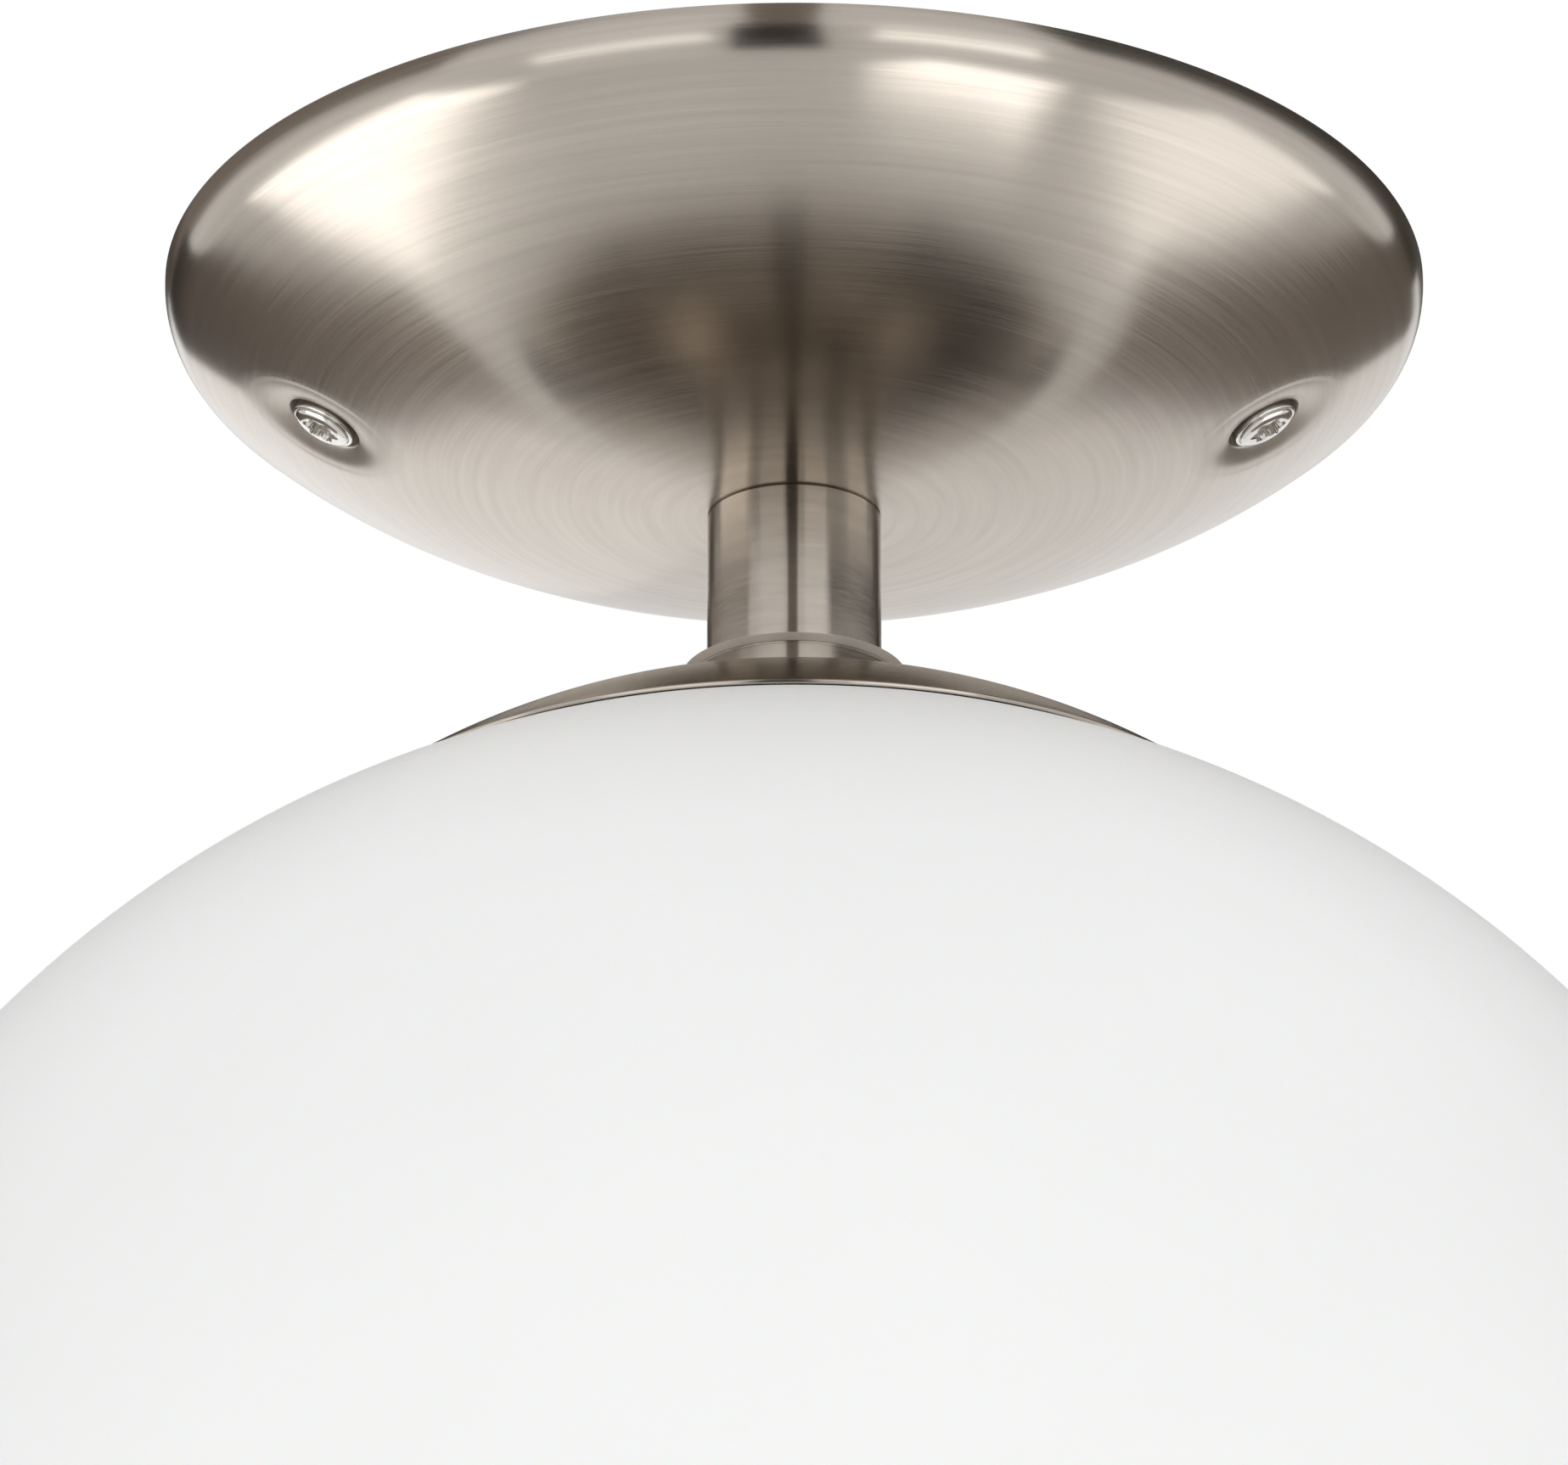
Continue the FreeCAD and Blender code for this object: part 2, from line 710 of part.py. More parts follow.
def make_pillar(side):
    """Clamping terminal on the core, with a bore for the wire and one for the clamping screw."""
    half = pillar_size / 2
    middle = side * pillar_out
    body = block(middle - half, middle + half, -half, half, core_top_z, core_top_z + pillar_size)
    bore_z_low = core_top_z + pillar_size - pillar_bore_l
    bore = Part.makeCylinder(wire_r + slip, pillar_bore_l + 1, V(middle, 0, bore_z_low))
    cross = Part.makeCylinder(clamp_screw_d / 2 + slip, half + 1, V(middle, 0, clamp_z()), V(side, 0, 0))
    return body.cut([bore, cross])


def clamp_z():
    """Height of the clamping screws of the lampholder."""
    return core_top_z + pillar_size - pillar_bore_l / 2


def make_live_contact():
    """Terminal, strip, pin and springy tongue that reach the bulb's centre contact."""
    half = pillar_size / 2
    strip_low = core_top_z
    strip = block(contact_pin_out - tongue_w / 2, pillar_out - half + 1, -tongue_w / 2, tongue_w / 2,
                  strip_low, strip_low + contact_strip_t)
    pin_low = core_low_z - contact_strip_t
    pin = Part.makeCylinder(contact_pin_d / 2, core_top_z - pin_low, V(contact_pin_out, 0, pin_low))
    pad = block(0, contact_pin_out + tongue_w / 2, -tongue_w / 2, tongue_w / 2,
                pin_low, core_low_z)
    fall = contact_drop - contact_strip_t - 2 * slip
    far = -contact_pin_out
    side = [V(0, -tongue_w / 2, core_low_z), V(0, -tongue_w / 2, pin_low),
            V(far, -tongue_w / 2, pin_low - fall), V(far, -tongue_w / 2, core_low_z - fall)]
    tongue = Part.Face(Part.makePolygon(side + [side[0]])).extrude(V(0, tongue_w, 0))
    return make_pillar(1).fuse([strip, pin, pad, tongue]).removeSplitter()


def make_side_contact():
    """Terminal and pin that reach the threaded shell."""
    pin = Part.makeCylinder(contact_pin_d / 2, holder_core_h, V(-pillar_out, 0, core_low_z))
    return make_pillar(-1).fuse(pin).removeSplitter()


def make_clamp_screws():
    """The two clamping screws of the lampholder, each up against its wire."""
    screws = []
    for side in (-1, 1):
        tip_x = side * (pillar_out + wire_r + slip)
        head_x = side * (pillar_out + pillar_size / 2 + slip)
        shank = Part.makeCylinder(clamp_screw_d / 2, abs(head_x - tip_x), V(tip_x, 0, clamp_z()), V(side, 0, 0))
        head = Part.makeCylinder(clamp_head_d / 2, clamp_head_t, V(head_x, 0, clamp_z()), V(side, 0, 0))
        slot_x = head_x + side * clamp_head_t
        slot = block(slot_x - clamp_head_t / 2, slot_x + clamp_head_t / 2, -clamp_head_d, clamp_head_d,
                     clamp_z() - contact_strip_t / 2, clamp_z() + contact_strip_t / 2)
        screws.append(shank.fuse(head).removeSplitter().cut(slot))
    return Part.makeCompound(screws)


def make_bulb_cap():
    """Threaded metal cap of the bulb."""
    top_z = bulb_top_z - bulb_contact_h - bulb_insulator_h
    outer_r = bulb_cap_d / 2
    low_z = top_z - bulb_cap_l + bulb_insulator_h
    inner_r = outer_r - bulb_cap_wall
    shoulder = bulb_insulator_h
    return turned(
        (bulb_contact_d / 2 + shoulder, top_z),
        ((outer_r, top_z - shoulder),),
        ((outer_r, low_z),),
        ((inner_r, low_z),),
        ((inner_r, top_z - shoulder - bulb_cap_wall),),
        ((bulb_contact_d / 2 + shoulder, top_z - bulb_cap_wall),),
    )


def make_bulb_insulator():
    """Dark insulating bead between the bulb's cap and its centre contact."""
    top_z = bulb_top_z - bulb_contact_h
    low_z = top_z - bulb_insulator_h
    low_r = bulb_contact_d / 2 + bulb_insulator_h - slip
    return Part.makeCone(low_r, bulb_contact_d / 2, bulb_insulator_h, V(0, 0, low_z))


def make_bulb_contact():
    """Centre contact of the bulb, a low round button."""
    low_r = bulb_contact_d / 2
    return Part.makeCone(low_r, low_r * 0.7, bulb_contact_h - eps, V(0, 0, bulb_top_z - bulb_contact_h + eps))


def bulb_form(inset):
    """The bulb's envelope, filled, with its skin set in by inset."""
    ball_r = bulb_d / 2 - inset
    ball_z = bulb_top_z - bulb_l + bulb_d / 2
    neck_r = bulb_neck_d / 2 - bulb_cap_wall - slip - inset
    neck_top = bulb_top_z - bulb_contact_h - bulb_insulator_h - bulb_cap_wall - loose - bulb_insulator_h - inset
    neck_low = holder_low_z - holder_step
    join = math.radians(38)
    join_r = ball_r * math.cos(join)
    join_z = ball_z + ball_r * math.sin(join)
    mid_r = neck_r + (join_r - neck_r) * 0.36
    mid_z = neck_low + (join_z - neck_low) * 0.56
    low = math.radians(-26)
    return turned(
        (0, neck_top),
        ((neck_r, neck_top),),
        ((neck_r, neck_low),),
        ((mid_r, mid_z), (join_r, join_z)),
        ((ball_r * math.cos(low), ball_z + ball_r * math.sin(low)), (0, ball_z - ball_r)),
    )


def make_bulb_glass():
    """Hollow glass envelope of the bulb; its neck stands in the cap."""
    return bulb_form(0).cut(bulb_form(bulb_wall))


def pole_xs():
    """Places of the terminal block's poles along X."""
    return [pole_pitch * (i - (pole_count - 1) / 2) for i in range(pole_count)]


def make_terminal_block():
    """Insulating body of the terminal block, under the bracket's arm."""
    y_low = block_set_back
    y_high = block_set_back + block_w
    body = block(-block_l / 2, block_l / 2, y_low, y_high, block_low_z, block_top_z)
    for x in pole_xs():
        channel = Part.makeCylinder(insert_bore / 2 + loose, block_w + 2, V(x, y_low - 1, bore_z), V(0, 1, 0))
        half = insert_w / 2 + slip
        pocket = block(x - half, x + half, block_mid_y() - insert_l / 2 - slip, block_mid_y() + insert_l / 2 + slip,
                       bore_z - insert_h / 2 - slip, bore_z + insert_h / 2 + slip)
        body = body.cut([channel, pocket])
        for y in block_screw_ys():
            well = Part.makeCylinder(block_well_d / 2, bore_z - block_low_z + 1, V(x, y, block_low_z - 1))
            body = body.cut(well)
    for side in (-1, 1):
        foot = V(side * pole_pitch / 2, block_mid_y(), block_low_z - 1)
        hole = Part.makeCylinder(fixing_d / 2 + hole_play, block_h + 2, foot)
        recess = Part.makeCylinder(fixing_head_d / 2 + hole_play, fixing_head_h + 1, foot)
        body = body.cut([hole, recess])
    return body


def block_screw_ys():
    """Places of the clamping screws of one pole along Y."""
    return [block_mid_y() - block_screw_out, block_mid_y() + block_screw_out]


def make_inserts():
    """Brass sleeves of the terminal block."""
    sleeves = []
    for x in pole_xs():
        half = insert_w / 2
        sleeve = block(x - half, x + half, block_mid_y() - insert_l / 2, block_mid_y() + insert_l / 2,
                       bore_z - insert_h / 2, bore_z + insert_h / 2)
        bore = Part.makeCylinder(insert_bore / 2, insert_l + 2, V(x, block_mid_y() - insert_l / 2 - 1, bore_z), V(0, 1, 0))
        sleeve = sleeve.cut(bore)
        for y in block_screw_ys():
            tapped = Part.makeCylinder(block_screw_d / 2 + slip, insert_h, V(x, y, bore_z - insert_h))
            sleeve = sleeve.cut(tapped)
        sleeves.append(sleeve)
    return Part.makeCompound(sleeves)


def make_block_screws():
    """Clamping screws of the terminal block, with slotted ends."""
    screws = []
    for x in pole_xs():
        for y in block_screw_ys():
            top_z = bore_z - wire_r - slip
            shank = Part.makeCylinder(block_screw_d / 2, block_screw_l, V(x, y, top_z - block_screw_l))
            slot = block(x - block_screw_d, x + block_screw_d, y - tag_t / 4, y + tag_t / 4,
                         top_z - block_screw_l - 1, top_z - block_screw_l + tag_t)
            screws.append(shank.cut(slot))
    return Part.makeCompound(screws)


def make_fixing_screws():
    """Two screws that hold the terminal block under the bracket's arm."""
    screws = []
    for side in (-1, 1):
        x = side * pole_pitch / 2
        head = Part.makeCylinder(fixing_head_d / 2, fixing_head_h, V(x, block_mid_y(), block_low_z))
        head_top = block_low_z + fixing_head_h
        shank = Part.makeCylinder(fixing_d / 2, -hole_play - head_top, V(x, block_mid_y(), head_top))
        slot = block(x - fixing_head_d, x + fixing_head_d, block_mid_y() - tag_t / 2, block_mid_y() + tag_t / 2,
                     block_low_z - 1, block_low_z + tag_t)
        screws.append(head.fuse(shank).removeSplitter().cut(slot))
    return Part.makeCompound(screws)


def make_earth_tag():
    """Ring tag with a crimped barrel for the earth wire."""
    top_z = -strap_t - eps
    eye = Part.makeCylinder(tag_d / 2, tag_t, V(earth_x, 0, top_z - tag_t))
    barrel_x = earth_x + tag_reach
    barrel = Part.makeCylinder(tag_barrel_d / 2, tag_barrel_l, V(barrel_x, 0, -earth_wire_z), V(1, 0, 0))
    neck = block(earth_x, barrel_x + tag_t, -tag_barrel_d / 2, tag_barrel_d / 2, top_z - tag_t, top_z)
    web = block(barrel_x, barrel_x + tag_t, -tag_barrel_d / 2, tag_barrel_d / 2, -earth_wire_z, top_z)
    hole = Part.makeCylinder(screw_thread_d / 2 + hole_play, 4 * tag_t, V(earth_x, 0, top_z - 3 * tag_t))
    bore = Part.makeCylinder(wire_r + slip, tag_barrel_l, V(barrel_x + tag_t, 0, -earth_wire_z), V(1, 0, 0))
    return eye.fuse([barrel, neck, web]).removeSplitter().cut([hole, bore])


def make_earth_washer():
    """Washer between the earth tag and the head of the earth screw."""
    top_z = -strap_t - tag_t - 2 * eps
    washer = ring(tag_d, screw_thread_d + 2 * hole_play, top_z - earth_washer_t, top_z)
    washer.translate(V(earth_x, 0, 0))
    return washer


def make_earth_screw():
    """Slotted screw that clamps the earth tag to the bracket."""
    head_top = -strap_t - tag_t - earth_washer_t - 3 * eps
    head = Part.makeCylinder(earth_head_d / 2, earth_head_h, V(earth_x, 0, head_top - earth_head_h))
    shank = Part.makeCylinder(screw_thread_d / 2, -hole_play - head_top, V(earth_x, 0, head_top))
    slot = block(earth_x - earth_head_d, earth_x + earth_head_d, -tag_t / 2, tag_t / 2,
                 head_top - earth_head_h - 1, head_top - earth_head_h + tag_t)
    return head.fuse(shank).removeSplitter().cut(slot)


def make_wire(points, radii):
    """Round wire along straight runs joined by tangent arcs, one radius for each inner point."""
    edges = []
    here = points[0]
    for before, corner, after, radius in zip(points, points[1:], points[2:], radii):
        into = (corner - before).normalize()
        out = (after - corner).normalize()
        turn = into.getAngle(out)
        reach = radius * math.tan(turn / 2)
        start = corner - into * reach
        end = corner + out * reach
        to_middle = (out - into).normalize()
        middle = corner + to_middle * (radius / math.cos(turn / 2) - radius)
        edges.append(Part.LineSegment(here, start).toShape())
        edges.append(Part.Arc(start, middle, end).toShape())
        here = end
    edges.append(Part.LineSegment(here, points[-1]).toShape())
    path = Part.Wire(edges)
    first = (points[1] - points[0]).normalize()
    section = Part.Wire(Part.makeCircle(wire_r, points[0], first))
    wire = path.makePipeShell([section], True, False)
    share = wire.Volume / (math.pi * wire_r ** 2 * path.Length)
    print("wire length", round(path.Length, 1), "radii", radii, "volume share", round(share, 4))
    return wire


def make_supply_wire(side):
    """Insulated wire from an outer pole of the block, down the rod, to a terminal of the lampholder."""
    pole_x = side * pole_pitch
    turn_y = block_set_back - 8
    spread_z = rod_low_z - eps
    side_run = pillar_out - wire_side
    points = [
        V(pole_x, block_set_back + wire_entry, bore_z),
        V(pole_x, turn_y, bore_z),
        V(side * wire_side, 0, -wire_turn_z),
        V(side * wire_side, 0, spread_z),
        V(side * pillar_out, 0, spread_z - side_run),
        V(side * pillar_out, 0, core_top_z + pillar_size - pillar_bore_l + eps),
    ]
    return make_wire(points, [wire_radius, wire_radius, wire_end_radius, wire_end_radius])


def make_earth_wire():
    """Insulated wire from the middle pole of the block to the earth tag."""
    points = [
        V(0, block_set_back + wire_entry, bore_z),
        V(0, block_set_back - 6, bore_z),
        V(0, 0, -earth_wire_z),
        V(earth_x + tag_reach + tag_t + eps, 0, -earth_wire_z),
    ]
    return make_wire(points, [wire_radius, earth_wire_radius])


parts = {
    "canopy": make_canopy(),
    "canopy_screw_right": at_screw(make_canopy_screw(), 0),
    "canopy_screw_left": at_screw(make_canopy_screw(), 180),
    "screw_washer_right": at_screw(make_screw_washer(), 0),
    "screw_washer_left": at_screw(make_screw_washer(), 180),
    "ceiling_bracket": make_bracket(),
    "terminal_block": make_terminal_block(),
    "terminal_inserts": make_inserts(),
    "terminal_screws": make_block_screws(),
    "block_fixing_screws": make_fixing_screws(),
    "earth_tag": make_earth_tag(),
    "earth_washer": make_earth_washer(),
    "earth_screw": make_earth_screw(),
    "wire_live": make_supply_wire(1),
    "wire_neutral": make_supply_wire(-1),
    "wire_earth": make_earth_wire(),
    "stem_tube": make_stem_tube(),
    "stem_rod": make_stem_rod(),
    "rod_bush": make_bush(),
    "upper_nut": make_nut(top_washer_z),
    "upper_washer": make_washer(canopy_inner_z),
    "stem_collar": make_collar(),
    "glass_cap": make_cap(),
    "gallery": make_gallery(),
    "lower_washer": make_washer(low_washer_z),
    "lower_nut": make_nut(low_nut_z),
    "holder_dome": make_holder_dome(),
    "holder_skirt": make_holder_skirt(),
    "holder_core": make_core(),
    "holder_shell": make_shell(),
    "holder_live_contact": make_live_contact(),
    "holder_side_contact": make_side_contact(),
    "holder_clamp_screws": make_clamp_screws(),
    "globe_gasket": make_gasket(),
    "globe_ring": make_globe_ring(),
    "globe_lock_ring": make_lock_ring(),
    "globe_glass": make_globe(),
    "bulb_contact": make_bulb_contact(),
    "bulb_insulator": make_bulb_insulator(),
    "bulb_cap": make_bulb_cap(),
    "bulb_glass": make_bulb_glass(),
}

os.makedirs("parts", exist_ok=True)
for name, shape in parts.items():
    shape.exportStep("parts/" + name + ".step")
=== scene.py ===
import math

import bmesh
import bpy
from bpy.props import FloatProperty, FloatVectorProperty, PointerProperty
from mathutils import Matrix, Vector


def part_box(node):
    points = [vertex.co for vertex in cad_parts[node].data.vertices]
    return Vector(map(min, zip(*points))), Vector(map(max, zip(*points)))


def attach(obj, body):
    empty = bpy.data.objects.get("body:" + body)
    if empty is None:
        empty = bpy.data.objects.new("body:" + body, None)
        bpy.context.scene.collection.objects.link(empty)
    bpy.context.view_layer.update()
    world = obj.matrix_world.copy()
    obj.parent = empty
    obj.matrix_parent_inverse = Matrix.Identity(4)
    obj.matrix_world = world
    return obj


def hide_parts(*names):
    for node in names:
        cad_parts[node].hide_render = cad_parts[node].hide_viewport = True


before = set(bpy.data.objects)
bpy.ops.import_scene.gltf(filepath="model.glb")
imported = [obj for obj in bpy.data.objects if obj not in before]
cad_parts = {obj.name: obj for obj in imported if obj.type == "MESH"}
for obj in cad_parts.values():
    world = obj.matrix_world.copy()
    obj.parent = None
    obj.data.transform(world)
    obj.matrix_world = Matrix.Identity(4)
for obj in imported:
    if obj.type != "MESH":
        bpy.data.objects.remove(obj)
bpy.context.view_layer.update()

bl_info = {
    "name": "Semi-flush globe ceiling light",
    "version": (1, 0, 0),
    "blender": (4, 5, 0),
    "location": "View3D > Sidebar > Ceiling light",
    "description": "Dresses a ceiling light in brushed nickel, polished screws and opal glass",
    "category": "Object",
}

MM = 0.001
# Radius of the holes for the rod, and travel of the bulb's thread in one turn as it is drawn
ROD_HOLE = 5.25 * MM
BULB_PITCH = 3.6 * MM


def span(node, axis):
    """Size of a solid along one axis, in metres."""
    low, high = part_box(node)
    return high[axis] - low[axis]


# Sizes and colours that a user would change

def length(name, description, default):
    return FloatProperty(name=name, description=description, default=default, min=0.0,
                         unit="LENGTH", precision=5)


def position(name, description, default):
    return FloatProperty(name=name, description=description, default=default, unit="LENGTH")


def rotation(name, description, degrees):
    return FloatProperty(name=name, description=description, default=math.radians(degrees),
                         subtype="ANGLE", unit="ROTATION")


def amount(name, description, default):
    return FloatProperty(name=name, description=description, default=default, min=0.0)


def colour(name, description, default):
    return FloatVectorProperty(name=name, description=description, default=default, size=3,
                               min=0.0, max=1.0, subtype="COLOR")


class CanopySizes(bpy.types.PropertyGroup):
    diameter: length("Diameter", "Width of the canopy at the ceiling", span("canopy", 0))
    depth: length("Depth", "Height of the canopy below the ceiling", span("canopy", 2))
    sheet: length("Sheet", "Thickness of the canopy's metal", 1.0 * MM)
    crown_radius: length("Crown radius", "Radius of the flat middle of the dish", 155.0 * MM)
    crown_diameter: length("Crown diameter", "Width of the flat middle of the dish", 72.0 * MM)
    shoulder_radius: length("Shoulder radius", "Radius of the dish outside its middle", 86.0 * MM)
    rim_radius: length("Rim radius", "Radius of the turned-up rim", 7.7 * MM)
    rim_wall: length("Rim wall", "Upright wall at the ceiling", 0.5 * MM)
    seat_radius: length("Seat radius", "Flat round the stem", 10.55 * MM)
    rod_hole_radius: length("Rod hole radius", "Hole for the threaded rod", ROD_HOLE)
    screw_inset: length("Screw inset", "From the rim to the middle of a screw", 18.7 * MM)
    screw_hole_radius: length("Screw hole radius", "Hole for a canopy screw", 2.25 * MM)
    dimple_depth: length("Dimple depth", "Depth of the dimple under the dish", 3.3 * MM)
    dimple_floor: length("Dimple floor", "Radius of the dimple's flat floor", 4.7 * MM)
    dimple_wall: length("Dimple wall", "Height of the dimple's upright wall", 2.0 * MM)
    dimple_lip: length("Dimple lip", "Radius of the edge over the wall", 0.3 * MM)
    dimple_reach: length("Dimple reach", "Radius at which the flare meets the dish", 9.5 * MM)
    dimple_slope: rotation("Dimple slope", "Slope of the flare at the edge over the wall", 20.0)
    dimple_blend: length("Dimple blend", "How softly the flare runs into the dish", 0.22 * MM)


class ScrewSizes(bpy.types.PropertyGroup):
    head_radius: length("Head radius", "Radius of a canopy screw's head", 4.0 * MM)
    head_height: length("Head height", "Height of the head", 2.6 * MM)
    dome_height: length("Dome height", "Height of the head's rounded top", 0.9 * MM)
    thread_radius: length("Thread radius", "Radius of the thread", 2.0 * MM)
    pitch: length("Pitch", "Travel of the thread in one turn", 0.7 * MM)
    shank: length("Shank", "Length under the head", 10.0 * MM)
    socket_radius: length("Socket radius", "Radius of the six-lobed socket over its lobes", 2.35 * MM)
    socket_depth: length("Socket depth", "Depth of the socket", 1.6 * MM)
    washer_radius: length("Washer radius", "Radius of the washer", 4.4 * MM)
    washer_height: length("Washer height", "Thickness of the washer", 0.7 * MM)


class StemSizes(bpy.types.PropertyGroup):
    radius: length("Stem radius", "Radius of the stem", span("stem_tube", 0) / 2)
    wall: length("Stem wall", "Wall of the stem's tube", 1.0 * MM)
    joint_chamfer: length("Joint chamfer", "Eased top edge that makes the dark joint line", 0.28 * MM)
    collar_radius: length("Collar radius", "Radius of the collar's upper edge", span("stem_collar", 0) / 2)
    bevel_width: length("Bevel width", "Width of the collar's bevel", 0.85 * MM)
    bevel_height: length("Bevel height", "Height of the collar's bevel", 0.7 * MM)
    groove: length("Groove", "Fine groove under the bevel", 0.16 * MM)


class GlobeSizes(bpy.types.PropertyGroup):
    cap_radius: length("Cap dome radius", "Radius of the cap's dome", 90.0 * MM)
    cap_sheet: length("Cap sheet", "Thickness of the cap's metal", 0.8 * MM)
    cap_edge: length("Cap edge", "Rounding of the cap's edge", 0.2 * MM)
    globe_radius: length("Globe radius", "Outer radius of the glass", span("globe_glass", 0) / 2)
    globe_wall: length("Globe wall", "Thickness of the glass", 3.0 * MM)
    rim_gap: length("Rim gap", "Gap between the cap's edge and the glass", 0.12 * MM)


class Finishes(bpy.types.PropertyGroup):
    nickel: colour("Brushed nickel", "Canopy, stem, collar and cap", (0.482, 0.435, 0.384))
    chrome: colour("Screw chrome", "Canopy screws and their washers", (0.70, 0.68, 0.65))
    zinc: colour("Zinc", "Bracket, nuts and washers", (0.66, 0.67, 0.67))
    brass: colour("Brass", "Terminals and the lampholder's shell", (0.80, 0.62, 0.32))
    aluminium: colour("Aluminium", "Globe rings and the bulb's cap", (0.78, 0.78, 0.77))
    white_plastic: colour("White plastic", "Terminal block and bush", (0.86, 0.86, 0.83))
    dark_plastic: colour("Dark plastic", "Lampholder", (0.055, 0.05, 0.045))
    brown_sleeve: colour("Live wire", "Sleeve of the live wire", (0.22, 0.11, 0.06))
    blue_sleeve: colour("Neutral wire", "Sleeve of the neutral wire", (0.06, 0.21, 0.58))
    green_sleeve: colour("Earth wire", "First colour of the earth wire", (0.10, 0.42, 0.12))
    yellow_stripe: colour("Earth wire stripe", "Second colour of the earth wire", (0.85, 0.72, 0.10))
    soft_ring: colour("Soft ring", "Ring between the globe and the cap", (0.70, 0.70, 0.68))
    opal: colour("Opal glass", "Globe", (0.93, 0.93, 0.925))
    bulb: colour("Bulb glass", "White coating of the bulb", (0.92, 0.92, 0.90))


class StageSettings(bpy.types.PropertyGroup):
    floor: colour("Floor", "Floor under the light", (0.86, 0.86, 0.85))
    world_level: amount("World level", "Soft light from all round", 0.96)
    front_power: FloatProperty(name="Front panel", description="Soft panel in front and below",
                               default=7.0, min=0.0, subtype="POWER", unit="POWER")
    dark_card: amount("Dark cards", "Level of the cards that metal reflects as dark bands", 0.03)
    grey_card: amount("Grey cards", "Level of the grey room above the horizon", 0.30)
    room: colour("Room colour", "Colour of the dark and grey cards", (1.0, 0.86, 0.75))
    back_card: amount("Back cards", "Level of the bright wall behind the light", 1.12)
    bright_card: amount("Bright cards", "Level of the cards that metal reflects as highlights", 2.75)
    floor_level: position("Floor level", "Height of the floor", -3.2)
    lens: FloatProperty(name="Lens", description="Focal length of the camera in millimetres",
                        default=192.25, min=1.0)
    tilt: rotation("Tilt", "How far the camera looks up", 23.15)
    camera_x: position("Camera sideways", "Camera's place along X", -0.0012)
    camera_y: position("Camera back", "Camera's place along Y", -0.900)
    camera_z: position("Camera height", "Camera's place along Z", -0.4411)


# Mesh helpers

def mesh_object(name, points, faces, crease_deg=35.0):
    """Object from points and faces, shaded smooth with sharp edges over the crease angle."""
    mesh = bpy.data.meshes.new(name)
    mesh.from_pydata([tuple(p) for p in points], [], faces)
    shape = bmesh.new()
    shape.from_mesh(mesh)
    bmesh.ops.recalc_face_normals(shape, faces=shape.faces)
    shape.to_mesh(mesh)
    shape.free()
    mesh.polygons.foreach_set("use_smooth", [True] * len(mesh.polygons))
    mesh.set_sharp_from_angle(angle=math.radians(crease_deg))
    piece = bpy.data.objects.new(name, mesh)
    bpy.context.scene.collection.objects.link(piece)
    return piece


def join_rings(rings, closed=False):
    """Points and faces through rings of equal count; a ring of one point is a pole."""
    points = []
    starts = []
    for ring in rings:
        starts.append(len(points))
        points.extend(ring)
    faces = []
    pairs = list(zip(range(len(rings)), range(1, len(rings))))
    if closed:
        pairs.append((len(rings) - 1, 0))
    for a, b in pairs:
        count = max(len(rings[a]), len(rings[b]))
        for i in range(count):
            j = (i + 1) % count
            low = [starts[a] + i, starts[a] + j] if len(rings[a]) > 1 else [starts[a]]
            high = [starts[b] + j, starts[b] + i] if len(rings[b]) > 1 else [starts[b]]
            faces.append(low + high)
    return points, faces


def circle(r, z, count):
    """Points of a level circle about the Z axis, or its middle where the radius is nought."""
    if r < 1e-9:
        return [Vector((0, 0, z))]
    return [Vector((r * math.cos(2 * math.pi * i / count), r * math.sin(2 * math.pi * i / count), z))
            for i in range(count)]


def arc(centre, radius, start_deg, end_deg, steps):
    """Points along an arc in a profile, both ends included; 0 degrees points outward and 90 up."""
    points = []
    for i in range(steps + 1):
        angle = math.radians(start_deg + (end_deg - start_deg) * i / steps)
        points.append((centre[0] + radius * math.cos(angle), centre[1] + radius * math.sin(angle)))
    return points


# Largest share of a side that a rounding takes, and the bend under which a corner is left as it is
EASED_SHARE = 0.45
GENTLE_BEND_DEG = 25


def bend(corner, back, ahead, reach, steps):
    """Soft bend round a corner, from reach along back to reach along ahead."""
    start = corner + back.normalized() * min(reach, back.length * EASED_SHARE)
    end = corner + ahead.normalized() * min(reach, ahead.length * EASED_SHARE)
    points = []
    for step in range(steps + 1):
        t = step / steps
        point = start * (1 - t) ** 2 + corner * 2 * t * (1 - t) + end * t ** 2
        points.append((point.x, point.y))
    return points


def eased(profile, radius, steps=3):
    """Closed profile with its corners rounded; gentle bends are left as they are."""
    result = []
    count = len(profile)
    for i in range(count):
        here = Vector(profile[i])
        back = Vector(profile[i - 1]) - here
        ahead = Vector(profile[(i + 1) % count]) - here
        turn = math.pi - back.angle(ahead, math.pi)
        if turn < math.radians(GENTLE_BEND_DEG) or here.x < 1e-9:
            result.append((here.x, here.y))
            continue
        reach = min(radius * math.tan(turn / 2), back.length * EASED_SHARE, ahead.length * EASED_SHARE)
        result += bend(here, back, ahead, reach, steps)
    return result


def circles(profile, count):
    """A level circle for each point of a profile."""
    return [circle(r, z, count) for r, z in profile]


def turned(name, profile, count=192, closed=True, crease_deg=35.0):
    """Solid turned from a closed profile, or from an open one that ends on the axis."""
    points, faces = join_rings(circles(profile, count), closed)
    return mesh_object(name, points, faces, crease_deg)


def threaded(name, rings):
    """Hollow threaded piece through rings that close on themselves."""
    points, faces = join_rings(rings, True)
    return mesh_object(name, points, faces, 50.0)


